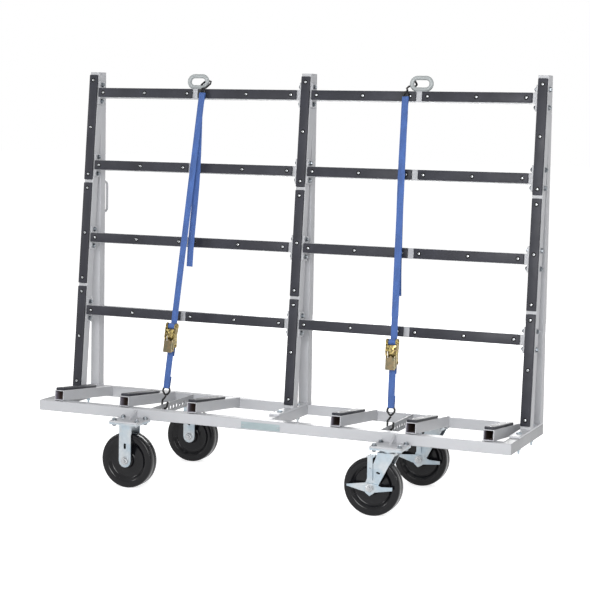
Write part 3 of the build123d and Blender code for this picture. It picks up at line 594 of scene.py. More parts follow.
def make_finishes():
    """All finishes by name, from shared groups."""
    for group in (mottle_group, grain_group, scuff_group, weave_group):
        group()
    colours = bpy.context.scene.cart_colours
    own = {key: tuple(getattr(colours, key)) for key in CartColours.__annotations__}
    # Coats: colour; mottle as scale, amount, roughness and spread; grain; clear coat and gloss
    paint = own["paint"]
    coats = {
        "paint": ("Grey powder coat", paint, (5.0, 0.07, 0.42, 0.12), PAINT_GRAIN, PAINT_COAT),
        # End rails and tie bars: the paint darkened as painted shade
        "shade": ("Darker grey coat", toned(paint, 0.66), (7.0, 0.12, 0.42, 0.12), PAINT_GRAIN, PAINT_COAT),
        "foot": ("Pale foot paint", toned(paint, 1.3), (12.0, 0.10, 0.40, 0.12), (700.0, 0.12, 0.002)),
        "ring": ("Dull ring steel", own["ring"], (30.0, 0.16, 0.46, 0.10), (500.0, 0.10, 0.002)),
        "wheel": ("Wheel moulding", own["wheel"], (18.0, 0.3, 0.17, 0.08), (260.0, 0.05), 0.0, 0.24),
        "hook": ("Coated hook wire", own["hook"], (60.0, 0.3, 0.35, 0.2), (500.0, 0.1), 0.0, 0.3),
        "thread": ("Stitch thread", toned(own["webbing"], 0.8, 0.02), (300.0, 0.3, 0.7, 0.1), (2500.0, 0.3)),
        "label": ("Bare label plate", own["label"], (25.0, 0.12, 0.38, 0.1), (900.0, 0.08)),
    }
    # Plating: two colours, the scale, low and high of their drift, and roughness
    plates = {
        "zinc": ("Bright zinc", own["zinc"], ZINC_DRIFT, 14.0, 0.42, 0.60, 0.36),
        # Bolt zinc: darker tints that paint the shade on the bolts and nuts
        "bolt": ("Bolt zinc", *SHADED_BOLT_TINTS, 60.0, 0.42, 0.60, 0.26),
        # Yellow zinc: its drift between bright and dark brown paints reflections
        "gold": ("Yellow zinc", own["gold"], GOLD_REFLECTION_DARK, 130.0, 0.42, 0.60, 0.30),
        "bronze": ("Dull yellow zinc", *BRONZE_TINTS, 75.0, 0.4, 0.62, 0.36),
        "steel": ("Screw steel", *STEEL_TINTS, 200.0, 0.4, 0.6, 0.28),
    }
    for maker, table in ((coated, coats), (plated, plates)):
        for key, values in table.items():
            FINISHES[key] = maker(*values)
    FINISHES["bare"] = tube_inside("Tube inside", SHADED_BARE_TUBE, PAINT_MIST)
    FINISHES["rubber"] = rubber("Pad rubber", own["rubber"])
    FINISHES["webbing"] = woven("Blue webbing", own["webbing"])


SLOT_FINISH = {
    "grey_paint": "paint",
    "rubber_pad": "rubber",
    "wheel_black": "wheel",
    "bright_zinc": "zinc",
    "yellow_zinc": "gold",
    "blue_webbing": "webbing",
    "hook_black": "hook",
}
# Nodes with their own finish: paler paint on the foot plates, and the paint darkened as painted shade on the
# end rails and tie bars
NODE_FINISH = {
    "foot_plates": "foot",
    "left_tie_bar": "shade",
    "right_tie_bar": "shade",
    "left_end_rail": "shade",
    "right_end_rail": "shade",
}


class CART_OT_finishes(bpy.types.Operator):
    """Make the finishes and put them on the frame's own nodes"""

    bl_idname = "cart.finishes"
    bl_label = "Finishes"

    def execute(self, context):
        make_finishes()
        for part in frame["record"]["subparts"]:
            mesh = frame["nodes"][part["node"]].data
            mesh.materials.clear()
            finish = NODE_FINISH.get(part["node"], SLOT_FINISH[part["material_slot"]])
            mesh.materials.append(FINISHES[finish])
        return {"FINISHED"}


def leg_pads():
    """Place and length of each pad on the uprights; X runs along a pad and -Y out of it."""
    upright = Matrix.Rotation(math.pi / 2.0, 4, "Y")
    for x in UPRIGHTS:
        low = 0.0
        for length in LEG_PAD_LENGTHS:
            yield BACK @ Matrix.Translation((x, 0.0, low + length / 2.0)) @ upright, length
            low += length + LEG_PAD_GAP


def bar_pads():
    length = (UPRIGHTS[2] - 2.0 * BAR_PAD_START - BAR_PAD_GAP) / 2.0
    for row in range(BAR_ROWS):
        for bay in (-BAY, BAY):
            for side in (-0.5, 0.5):
                x = bay + BAR_PAD_SHIFT + side * (length + BAR_PAD_GAP)
                yield BACK @ Matrix.Translation((x, 0.0, BAR_FIRST + row * BAR_PITCH)), length


def support_pads():
    out = Matrix.Rotation(math.pi / 2.0, 4, "Z") @ Matrix.Rotation(-math.pi / 2.0, 4, "X")
    middle = SUPPORT_PAD_SETBACK - SUPPORT_NOSE + SUPPORT_PAD_LENGTH / 2.0
    for x in SUPPORT_SPOTS:
        yield SUPPORT @ Matrix.Translation((x, middle, TUBE + PAD_THICK)) @ out, SUPPORT_PAD_LENGTH


# Each node of pads, with its places and how deep its screws sit
PAD_SCREW_SINK = 0.0010
SUPPORT_SCREW_SINK = 0.0022
PADS = {
    "leg_pads": (leg_pads, PAD_SCREW_SINK),
    "bar_pads": (bar_pads, PAD_SCREW_SINK),
    "support_pads": (support_pads, SUPPORT_SCREW_SINK),
}


class CART_OT_pads(bpy.types.Operator):
    """Make the rubber pads with rounded edges"""

    bl_idname = "cart.pads"
    bl_label = "Rubber pads"

    def execute(self, context):
        for name, (spots, _) in PADS.items():

            def fill(shape):
                for place, length in spots():
                    centre = place @ Matrix.Translation((0.0, PAD_THICK / 2.0, 0.0))
                    rounded_block(shape, centre, (length, PAD_THICK, PAD_WIDTH), sizes().pad_edge)

            new_piece(f"rubber_{name}", fill, "rubber", "rubber_pad", sharp=60.0, replaced=name)
        return {"FINISHED"}


def repeat_tree(name, build, **inputs):
    """Geometry tree that sets one shape on points, turned by their facing and along vectors."""
    graph = Graph(bpy.data.node_groups.new(name, "GeometryNodeTree"))
    for label, value in {"Geometry": None, **inputs, "Finish": None}.items():
        graph.socket(label, "INPUT", value)
    graph.socket("Geometry", "OUTPUT")
    start = graph.node("NodeGroupInput").outputs
    turn = {}
    for label, axis, pivot in (("facing", "Z", "AUTO"), ("along", "X", "Z")):
        vector = graph.node("GeometryNodeInputNamedAttribute", {"Name": label}, data_type="FLOAT_VECTOR")
        feeds = {"Vector": vector.outputs["Attribute"], **turn}
        align = graph.node("FunctionNodeAlignRotationToVector", feeds, axis=axis, pivot_axis=pivot)
        turn = {"Rotation": align.outputs["Rotation"]}
    feeds = {"Points": start["Geometry"], "Instance": build(graph, start), **turn}
    flow = graph.node("GeometryNodeInstanceOnPoints", feeds).outputs["Instances"]
    for kind in ("GeometryNodeRealizeInstances", "GeometryNodeSetShadeSmooth", "GeometryNodeSetMaterial"):
        last = graph.node(kind, {"Geometry": flow})
        flow = last.outputs["Geometry"]
    graph.feed(last.inputs["Material"], start["Finish"])
    graph.node("NodeGroupOutput", {"Geometry": flow})
    return graph.tree


REPEAT_SHARP = 30.0


def repeat_piece(name, tree, spots, finish, slot, body="cart_frame", **values):
    """Plain mesh of the tree's shape on all spots, each a (point, facing, along)."""
    mesh = bpy.data.meshes.new(name)
    mesh.from_pydata([spot[0] for spot in spots], [], [])
    for number, label in ((1, "facing"), (2, "along")):
        layer = mesh.attributes.new(label, "FLOAT_VECTOR", "POINT")
        for item, spot in zip(layer.data, spots):
            item.vector = spot[number]
    holder = bpy.data.objects.new(name, mesh)
    bpy.context.scene.collection.objects.link(holder)
    modifier = holder.modifiers.new(name, "NODES")
    modifier.node_group = tree
    values["Finish"] = FINISHES[finish]
    for item in tree.interface.items_tree:
        if item.in_out == "INPUT" and item.name in values:
            modifier[item.identifier] = values[item.name]
    graph = bpy.context.evaluated_depsgraph_get()
    made = bpy.data.meshes.new_from_object(holder.evaluated_get(graph), depsgraph=graph)
    holder.modifiers.clear()
    bpy.data.objects.remove(holder)
    bpy.data.meshes.remove(mesh)
    if not made.polygons:
        raise RuntimeError(f"{name} came out empty")
    return finish_piece(name, made, slot, body, REPEAT_SHARP)


def joined(graph, shapes):
    join = graph.node("GeometryNodeJoinGeometry")
    for shape in shapes:
        graph.feed(join.inputs[0], shape)
    return join.outputs[0]


def stacked(graph, *parts):
    """Join of (shape, height) parts, each lifted along Z."""
    shapes = []
    for shape, lift in reversed(parts):
        height = graph.node("ShaderNodeCombineXYZ", {"Z": lift}).outputs[0]
        feeds = {"Geometry": shape, "Translation": height}
        shapes.append(graph.node("GeometryNodeTransform", feeds).outputs[0])
    return joined(graph, shapes)


def disc(graph, sides, low, high, depth):
    """Disc or cone standing on Z = 0."""
    feeds = {"Vertices": sides, "Radius Bottom": low, "Radius Top": high, "Depth": depth}
    return graph.node("GeometryNodeMeshCone", feeds).outputs["Mesh"]


WASHER_THICK = 0.0015
# Painted shade round each pad screw: a thin dark floor and its lip
RECESS_SHADE_FLOOR = 0.0003
RECESS_SHADE_LIP = 0.0006
# Washer, eased top, thread and its tip in a bolt's radius; base and eased top in its thickness
BOLT_WIDTHS = (1.22, 0.86, 0.5, 0.42)
BOLT_HEIGHTS = (0.82, 0.18)
# Shoulder, crown and step of a screw head in its radius
SCREW_SHARES = (0.86, 0.45, 0.22)
SCREW_CROWN = 0.6
# Length and width of a driver recess in the screw's radius, drawn as painted shade
CROSS_SHARES = (0.95, 0.20)


def bolt_shape(graph, start):
    """Washer, hexagon with an eased top and the end of the thread."""
    radius, thick = start["Radius"], start["Thickness"]
    washer, eased, thread, tip = (graph.times(radius, share) for share in BOLT_WIDTHS)
    base, top = (graph.times(thick, share) for share in BOLT_HEIGHTS)
    return stacked(
        graph,
        (disc(graph, 24, washer, washer, WASHER_THICK), 0.0),
        (disc(graph, 6, radius, radius, base), WASHER_THICK),
        (disc(graph, 6, radius, eased, top), graph.plus(base, WASHER_THICK)),
        (disc(graph, 14, thread, tip, start["Thread"]), graph.plus(thick, WASHER_THICK)),
    )


def screw_shape(graph, start):
    """Low domed screw head."""
    radius = start["Radius"]
    shoulder, crown, step = (graph.times(radius, share) for share in SCREW_SHARES)
    return stacked(
        graph,
        (disc(graph, 20, radius, radius, step), 0.0),
        (disc(graph, 20, radius, shoulder, step), step),
        (disc(graph, 20, shoulder, crown, graph.times(step, SCREW_CROWN)), graph.times(step, 2.0)),
    )


def recess_cross_shade(graph, start):
    """Painted shade of the driver recess: a cross of two thin bars."""
    long, wide = start["Length"], start["Width"]
    bars = []
    for sides in ((long, wide, wide), (wide, long, wide)):
        lengths = graph.node("ShaderNodeCombineXYZ", dict(enumerate(sides))).outputs[0]
        bars.append(graph.node("GeometryNodeMeshCube", {"Size": lengths}).outputs["Mesh"])
    return joined(graph, bars)


def recess_shade_shape(graph, start):
    """Painted shade of the recess round a screw: a thin dark floor and a rolled lip."""
    radius = start["Radius"]
    loops = {}
    for key, steps, reach in (("Curve", 28, radius), ("Profile Curve", 8, start["Lip"])):
        feeds = {"Resolution": steps, "Radius": reach}
        loops[key] = graph.node("GeometryNodeCurvePrimitiveCircle", feeds).outputs["Curve"]
    roll = graph.node("GeometryNodeCurveToMesh", loops).outputs["Mesh"]
    return stacked(graph, (roll, 0.0), (disc(graph, 28, radius, radius, RECESS_SHADE_FLOOR), 0.0))


def stitch_shape(graph, start):
    """One stitch lying along X: a short thread with drawn-in ends."""
    thread = start["Thread"]
    low = disc(graph, 7, thread, graph.times(thread, 0.5), graph.times(start["Length"], 0.5))
    ends = []
    for turn in (math.pi / 2.0, -math.pi / 2.0):
        feeds = {"Geometry": low, "Rotation": (0.0, turn, 0.0)}
        ends.append(graph.node("GeometryNodeTransform", feeds).outputs[0])
    return joined(graph, ends)


GOLDEN_ANGLE = 2.39996


def turned_spots(pairs):
    """Spots from (point, facing) pairs, each turned on by a golden angle."""
    spots = []
    for number, (point, facing) in enumerate(pairs):
        side = facing.orthogonal().normalized()
        spots.append((point, facing, Matrix.Rotation(number * GOLDEN_ANGLE, 3, facing) @ side))
    return spots


def raised(spots, height):
    return [(point + facing * height, facing, along) for point, facing, along in spots]


PAD_SCREW_INSET = 0.021


def pad_screw_spots():
    pairs = []
    for pads, sink in PADS.values():
        for place, length in pads():
            facing = (place.to_3x3() @ AHEAD).normalized()
            reach = length / 2.0 - PAD_SCREW_INSET
            pairs += [(place @ Vector((x, sink, 0.0)), facing) for x in (-reach, 0.0, reach)]
    return turned_spots(pairs)


class CART_OT_pad_screws(bpy.types.Operator):
    """Set the screws of the rubber pads, with painted shade in and round their recesses"""

    bl_idname = "cart.pad_screws"
    bl_label = "Pad screws"

    def execute(self, context):
        spots = pad_screw_spots()
        radius = sizes().pad_screw
        long, wide = (radius * share for share in CROSS_SHARES)
        shade_disc = repeat_tree("Screw dish", recess_shade_shape, Radius=sizes().pad_sink, Lip=RECESS_SHADE_LIP)
        head = repeat_tree("Screw head", screw_shape, Radius=radius)
        cross = repeat_tree("Screw cross", recess_cross_shade, Length=long, Width=wide)
        # Dark dishes round the pad screws, as painted shade of their recesses
        repeat_piece("screw_dishes", shade_disc, raised(spots, PAD_SCREW_SINK), "wheel", "rubber_pad")
        repeat_piece("pad_screws", head, spots, "steel", "bright_zinc")
        # Dark crosses on the screw heads, as painted shade of the driver recesses
        repeat_piece("screw_crosses", cross, raised(spots, radius / 2.0), "wheel", "bright_zinc")
        return {"FINISHED"}


END_PLATE = 0.00635
BAR_BOLT_REACH = 0.032
FOOT_BOLTS = (DECK_REAR - 0.088, DECK_REAR - 0.257)
BOLT_THREAD = 0.002
FOOT_HEAD = 0.0100
FOOT_NUT = {"Radius": 0.0080, "Thickness": 0.0105, "Thread": 0.0130}
CASTER_BOLT = (0.046, 0.03335)
LEG_OUTER = 0.03635
AXLE_END = LEG_OUTER + 0.0046
AXLE_NUT = {"Radius": 0.0127, "Thickness": 0.0052, "Thread": 0.0030}


def bolt_spots():
    """Bolt heads and nuts of the cross bars and the caster plates."""
    pairs = []
    for row in range(BAR_ROWS):
        for offset in (-BAR_BOLT_REACH, BAR_BOLT_REACH):
            height = BAR_FIRST + row * BAR_PITCH + offset
            for x in UPRIGHTS:
                for side in (-1.0, 1.0):
                    outer = x * side > 0.0
                    face = x + side * (TUBE / 2.0 + (0.0 if outer else END_PLATE))
                    pairs.append((BACK @ Vector((face, BAR_DEPTH, height)), RIGHT * side))
    for x in (-CASTER_X, CASTER_X):
        for _, y in CASTER_ENDS:
            for along in (-CASTER_BOLT[0], CASTER_BOLT[0]):
                for across in (-CASTER_BOLT[1], CASTER_BOLT[1]):
                    for height, facing in ((PLATE_TOP, UP), (PLATE_UNDER, -UP)):
                        pairs.append((Vector((x + along, y + across, height)), facing))
    return turned_spots(pairs)


def foot_spots(height, facing):
    """Places of the foot bolts at one height."""
    return turned_spots([(Vector((x, y, height)), facing) for x in UPRIGHTS for y in FOOT_BOLTS])


def axle_spots(x, y, front):
    """Places of an axle's nut and head."""
    ends = ((y - front, AHEAD), (y + LEG_OUTER, -AHEAD))
    return turned_spots([(Vector((x, depth, AXLE_HEIGHT)), facing) for depth, facing in ends])


class CART_OT_bolts(bpy.types.Operator):
    """Set the bolts of the cross bars, feet and casters"""

    bl_idname = "cart.bolts"
    bl_label = "Bolts"

    def execute(self, context):
        values = {"Radius": sizes().bolt_head, "Thickness": sizes().bolt_thick, "Thread": BOLT_THREAD}
        tree = repeat_tree("Bolt", bolt_shape, **values)
        head = repeat_tree("Foot bolt head", screw_shape, Radius=FOOT_HEAD)
        repeat_piece("frame_bolts", tree, bolt_spots(), "bolt", "bright_zinc")
        repeat_piece("foot_bolt_nuts", tree, foot_spots(DECK_BOTTOM, -UP), "zinc", "bright_zinc", **FOOT_NUT)
        repeat_piece("foot_bolt_heads", head, foot_spots(FOOT_TOP, UP), "zinc", "bright_zinc")
        for end, y in CASTER_ENDS:
            for side, x, front, body in (
                ("left", -CASTER_X, LEG_OUTER, "cart_frame"),
                ("right", CASTER_X - TRAIL, AXLE_END, f"{end}_right_caster"),
            ):
                name = f"{end}_{side}_axle_nuts"
                repeat_piece(name, tree, axle_spots(x, y, front), "steel", "bright_zinc", body, **AXLE_NUT)
        return {"FINISHED"}


LABEL_THICK = 0.0010
LABEL_INSET = 0.007
LABEL_RIVET = 0.0028


class CART_OT_label(bpy.types.Operator):
    """Fit the bare label plate to the front rail"""

    bl_idname = "cart.label"
    bl_label = "Label plate"

    def execute(self, context):
        length = sizes().label_length
        middle = Matrix.Translation(LABEL_CENTRE + AHEAD * (LABEL_THICK / 2.0))

        def fill(shape):
            lengths = (length, LABEL_THICK, sizes().label_height)
            rounded_block(shape, middle, lengths, LABEL_THICK * 0.4, 2)

        new_piece("label_plate", fill, "label", "grey_paint")
        reach = length / 2.0 - LABEL_INSET
        face = LABEL_CENTRE + AHEAD * LABEL_THICK
        spots = [(face + RIGHT * x, AHEAD, RIGHT) for x in (-reach, reach)]
        head = repeat_tree("Label rivet", screw_shape, Radius=LABEL_RIVET)
        repeat_piece("label_rivets", head, spots, "steel", "bright_zinc")
        return {"FINISHED"}


LINER = 0.0003
LINER_START = 0.0006


class CART_OT_liners(bpy.types.Operator):
    """Line the support tubes with their bare inside, darker as painted shade"""

    bl_idname = "cart.liners"
    bl_label = "Tube insides"

    def execute(self, context):
        near = LINER_START - SUPPORT_NOSE
        far = SUPPORT_PAD_LENGTH - SUPPORT_NOSE
        outer = TUBE_BORE / 2.0
        inner = outer - LINER

        def fill(shape):
            for x in SUPPORT_SPOTS:
                rings = []
                for y, half in ((near, outer), (far, outer), (far, inner), (near, inner)):
                    corners = ((-half, -half), (half, -half), (half, half), (-half, half))
                    spots = [SUPPORT @ Vector((x + a, y, TUBE / 2.0 + b)) for a, b in corners]
                    rings.append(new_ring(shape, spots))
                bridge(shape, rings, closed=True)

        new_piece("support_tube_insides", fill, "bare", "grey_paint")
        return {"FINISHED"}


# Bends of the wire that hooks each ring, set off from the ring's centre
RING_WIRES = {
    "left": (
        (0.015, -0.006, -0.013),
        (0.025, 0.009, 0.003),
        (0.037, 0.015, 0.005),
        (0.050, 0.007, 0.001),
        (0.055, -0.010, -0.009),
        (0.050, -0.036, -0.026),
    ),
    "right": (
        (0.024, -0.003, 0.008),
        (0.019, 0.004, -0.003),
        (0.030, 0.015, -0.009),
        (0.050, 0.009, -0.008),
        (0.052, -0.012, -0.019),
        (0.040, -0.036, -0.029),
    ),
}


def ring_spot(side, offset):
    """Point set off from a ring's centre: inward along the bar, into the cart and up."""
    inwards = 1.0 if side == "left" else -1.0
    x = RING_SHIFT - inwards * BAY + inwards * offset[0]
    return BACK @ Vector((x, BAR_DEPTH + offset[1], BAR_TOP + RING_HEIGHT / 2.0 + offset[2]))


def ring_pull(side):
    """End of the strap's pull: in front of the ring, past its bar at the inner end."""
    turn = GRIP_TURNS[side]
    reach = RING_BEND + RING_BAR / 2.0 + EYE_WIRE / 2.0 + 2.0 * CLEAR
    along = RING_STRAIGHT / 2.0 + reach * math.cos(turn)
    return ring_spot(side, (along, -HOOK_OVERHANG - BAR_DEPTH, -reach * math.sin(turn)))


def standing(across, inward, upward):
    """Matrix whose axes are three vectors."""
    return Matrix((across, inward, upward)).transposed().to_4x4()


class StrapLine:
    """One strap's frame and the heights along its pull."""

    def __init__(self, side):
        bay = -BAY if side == "left" else BAY
        hole = TIE_HOLE_USED + RIGHT * (bay + TIE_BAR_SHIFT)
        self.grip = [ring_spot(side, offset) for offset in RING_WIRES[side]]
        pull = ring_pull(side) - hole
        upward = pull.normalized()
        inward = upward.cross(RIGHT).normalized()
        self.place = Matrix.Translation(hole) @ standing(inward.cross(upward), inward, upward)
        self.lean = math.atan2(pull.y, pull.z)
        self.neck = pull.length - HOOK_NECKS[side]
        self.tail = TAIL_LENGTHS[side]
        self.thick = sizes().webbing_thick
        self.eye_loop = EYE_WIRE / 2.0 + CLEAR + self.thick / 2.0
        self.upper_eye = self.neck - EYE_HEIGHT
        self.wrap_start = SPINDLE_RADIUS + CLEAR + self.thick / 2.0
        self.spindle_y = -self.eye_loop - self.wrap_start - WRAP_HALF_TURNS * WRAP_PITCH / 2.0
        self.anchor_loop = ANCHOR_RADIUS + CLEAR + self.thick / 2.0
        self.anchor_y = self.anchor_loop - self.eye_loop


def traced(start, heading, moves, run=0.006, turn=math.radians(8.0)):
    """Points (y, z) and headings along straight runs (length,) and bends (radius, turn)."""
    y, z = start
    marks = [(y, z, heading)]
    for move in moves:
        if len(move) == 1:
            count = max(1, math.ceil(move[0] / run))
            step = move[0] / count
            for _ in range(count):
                y += math.cos(heading) * step
                z += math.sin(heading) * step
                marks.append((y, z, heading))
            continue
        radius, angle = move
        count = max(2, math.ceil(abs(angle) / turn))
        arm = math.copysign(radius, angle)
        for _ in range(count):
            centre_y = y - math.sin(heading) * arm
            centre_z = z + math.cos(heading) * arm
            heading += angle / count
            y = centre_y + math.sin(heading) * arm
            z = centre_z - math.cos(heading) * arm
            marks.append((y, z, heading))
    return marks


def main_marks(line):
    """Wound on the spindle, up to the ring hook's eye, over it and down the sewn stretch."""
    loop = line.eye_loop
    sine, cosine = math.sin(SEWN_ANGLE), math.cos(SEWN_ANGLE)
    shift = loop * (1.0 + cosine) - line.thick - SEWN_GAP - SEWN_BEND * (1.0 - cosine)
    slope = shift / sine
    used = loop * sine + slope * cosine + SEWN_BEND * sine
    moves = [(line.wrap_start + turn * WRAP_PITCH / 2.0, math.pi) for turn in range(WRAP_HALF_TURNS)]
    moves += [(line.upper_eye - SPINDLE_RISE,), (loop, -math.pi - SEWN_ANGLE), (slope,)]
    moves += [(SEWN_BEND, SEWN_ANGLE), (SEWN_LENGTH - used,)]
    return traced((line.spindle_y + line.wrap_start, SPINDLE_RISE), math.pi / 2.0, moves)


def short_marks(line):
    """Round the ratchet's pin, down to the deck hook's eye and round its wire."""
    moves = [(LOOP_LENGTH,), (line.anchor_loop, math.pi), (ANCHOR_RISE - LOWER_EYE,)]
    moves += [(line.eye_loop, math.pi), (LOOP_LENGTH,)]
    start = (line.anchor_y + line.anchor_loop, ANCHOR_RISE - LOOP_LENGTH)
    return traced(start, math.pi / 2.0, moves)


def tail_marks(line):
    """Loose end below the sewn stretch: along the pads, then nearly straight down."""
    spread = line.lean - LEAN
    drop = LEAN - TAIL_HANG
    free = line.tail - TAIL_BEND * (spread + drop)
    hung = free * TAIL_SHARE
    moves = [(TAIL_BEND, spread), (hung,), (TAIL_BEND, drop), (free - hung,)]
    start = (-line.eye_loop + line.thick + SEWN_GAP, line.upper_eye - SEWN_LENGTH)
    return traced(start, -math.pi / 2.0, moves, 0.008, math.radians(1.0))


# One face of the webbing, in shares of its width and thickness; the other is its half turn
WEBBING_EDGE = ((-0.5, 0.0), (-0.485, 0.36), (-0.44, 0.5))
WEBBING_FACE = WEBBING_EDGE + ((-0.15, 0.46), (0.15, 0.46), (0.44, 0.5), (0.485, 0.36))
WEBBING_SECTION = WEBBING_FACE + tuple((-u, -v) for u, v in WEBBING_FACE)
EYE_PINCH = 0.07
PINCH_REACH = 0.022
TAIL_LOOSE = 0.10
TAIL_DRIFT = {"left": 0.0135, "right": -0.0085}
DRIFT_SHARE = 0.55
TWIST_RATE = 2.6
TWIST_START = 0.4
SWAY = 0.012
SWAY_RATE = 5.0
CUP = 0.0012
MM = 1000.0


def ribbon(shape, place, marks, eye=None, loose=0.0, drift=0.0):
    """Flat webbing along marks, drawn in at an eye; a loose one curls, turns and drifts aside."""
    full = sizes().webbing_width
    thick = sizes().webbing_thick
    layer = shape.loops.layers.uv.verify()
    rings = []
    runs = []
    for index, (y, z, heading) in enumerate(marks):
        runs.append(runs[-1] + math.dist(marks[index - 1][:2], (y, z)) if index else 0.0)
        share = index / (len(marks) - 1)
        twist = loose * share * math.sin(TWIST_RATE * share + TWIST_START)
        sway = loose * SWAY * math.sin(SWAY_RATE * share) * share
        sway += drift * math.sin(math.pi / 2.0 * min(1.0, share / DRIFT_SHARE))
        normal = Vector((0.0, -math.sin(heading), math.cos(heading)))
        across = RIGHT * math.cos(twist) + normal * math.sin(twist)
        out = normal * math.cos(twist) - RIGHT * math.sin(twist)
        pinch = 0.0 if eye is None else EYE_PINCH * math.exp(-(((z - eye) / PINCH_REACH) ** 2))
        spots = []
        for u, v in WEBBING_SECTION:
            cup = loose * CUP * share * (1.0 - (2.0 * u) ** 2)
            spot = Vector((sway, y, z)) + across * (u * full * (1.0 - pinch)) + out * (v * thick + cup)
            spots.append(place @ spot)
        rings.append(new_ring(shape, spots))
    count = len(WEBBING_SECTION)
    faces = bridge(shape, rings, capped=True)
    for number, face in enumerate(faces[:-2]):
        row, step = divmod(number, count)
        after = (step + 1) % count
        corners = ((step, row), (after, row), (after, row + 1), (step, row + 1))
        for loop, (column, level) in zip(face.loops, corners):
            loop[layer].uv = (WEBBING_SECTION[column][0] * full * MM, runs[level] * MM)
    for face, run in zip(faces[-2:], (runs[0], runs[-1])):
        for loop, (u, _) in zip(face.loops, WEBBING_SECTION):
            loop[layer].uv = (u * full * MM, run * MM)


class CART_OT_straps(bpy.types.Operator):
    """Weave the straps: wound on the ratchets, sewn round the hooks, with loose tails"""

    bl_idname = "cart.straps"
    bl_label = "Straps"

    def execute(self, context):
        for side in STRAPS:
            line = StrapLine(side)

            def fill(shape):
                ribbon(shape, line.place, main_marks(line), line.upper_eye)
                ribbon(shape, line.place, short_marks(line), LOWER_EYE)

            def fill_tail(shape):
                ribbon(shape, line.place, tail_marks(line), None, TAIL_LOOSE, TAIL_DRIFT[side])

            for name, maker in ((f"{side}_strap", fill), (f"{side}_strap_tail", fill_tail)):
                title = f"woven_{name}"
                strap = new_piece(title, maker, "webbing", "blue_webbing", sharp=60.0, replaced=name)
                strap.data.uv_layers[0].name = "webbing"
        return {"FINISHED"}


# Spacing of the stitches in stitch lengths, their rows in webbing widths, and the zigzag
STITCH_PITCH = 1.25
STITCH_REACH = 0.40
ZIGZAG_STEPS = 6
ZIGZAG_SHARE = 0.8
THREAD = 0.00032
# How far the sewing keeps from the ring hook's eye, the ratchet's pin and the deck hook's eye
SEWN_STOPS = (0.030, 0.010, 0.008)


def stitch_rows(line, low, high, y, facing):
    """Two long rows and a zigzag between them, on one face of the webbing."""
    pitch = sizes().stitch * STITCH_PITCH
    reach = sizes().webbing_width * STITCH_REACH
    turned = line.place.to_3x3()
    out = turned @ Vector((0.0, facing, 0.0))
    spots = []
    for number in range(int((high - low) / pitch)):
        z = low + (number + 0.5) * pitch
        swing = reach * (1.0 - 2.0 * abs((number / ZIGZAG_STEPS) % 2.0 - 1.0)) * ZIGZAG_SHARE
        slope = 2.0 * ZIGZAG_SHARE * reach / (ZIGZAG_STEPS * pitch)
        slant = Vector((-slope if number // ZIGZAG_STEPS % 2 else slope, 0.0, 1.0))
        for x, along in ((-reach, UP), (reach, UP), (swing, slant)):
            spots.append((line.place @ Vector((x, y, z)), out, (turned @ along).normalized()))
    return spots


class CART_OT_stitches(bpy.types.Operator):
    """Sew the strap ends"""

    bl_idname = "cart.stitches"
    bl_label = "Stitches"

    def execute(self, context):
        spots = []
        top, pin, deck = SEWN_STOPS
        for side in STRAPS:
            line = StrapLine(side)
            half = line.thick / 2.0
            front = (-line.eye_loop - half, -1.0)
            rear = (line.eye_loop + half, 1.0)
            pin_rear = (2.0 * line.anchor_loop - line.eye_loop + half, 1.0)
            for low, high, faces in (
                (line.upper_eye - SEWN_LENGTH, line.upper_eye - top, (front,)),
                (ANCHOR_RISE - LOOP_LENGTH, ANCHOR_RISE - pin, (front, pin_rear)),
                (LOWER_EYE + deck, LOWER_EYE + LOOP_LENGTH, (front, rear)),
            ):
                for y, facing in faces:
                    spots += stitch_rows(line, low, high, y, facing)
        tree = repeat_tree("Stitch", stitch_shape, Length=sizes().stitch, Thread=THREAD)
        repeat_piece("strap_stitches", tree, spots, "thread", "blue_webbing")
        return {"FINISHED"}


def slot_loop(straight, radius, steps=14):
    """Closed loop of a long ring in its own X and Z."""
    points = []
    for side in (1.0, -1.0):
        for step in range(steps + 1):
            turn = math.pi / 2.0 - math.pi * step / steps
            x = side * (straight / 2.0 + radius * math.cos(turn))
            points.append(Vector((x, 0.0, side * radius * math.sin(turn))))
    return points


# The deck hook's wire, and the eyes that hold the webbing
HOOK_MOUTH = 0.022
HOOK_TIP = 0.026
HOOK_SHANK = 0.030
HOOK_BEND = 0.006
SHANK_BEND = 0.012
EYE_BASE = 0.050
EYE_CORNER = 0.0115
EYE_PEAK = EYE_CORNER * 0.7
EYE_RISE = 0.034
EYE_LAP = 0.006


def wire_eye(low, high):
    """Closed wire eye: a straight bar at one height and two sides that meet at another."""
    half = EYE_BASE / 2.0
    spots = ((0.0, low), (half, low), (0.0, high), (-half, low), (0.0, low))
    bends = (EYE_CORNER, EYE_PEAK, EYE_CORNER)
    return round_corners([Vector((x, 0.0, z)) for x, z in spots], bends)[:-1]


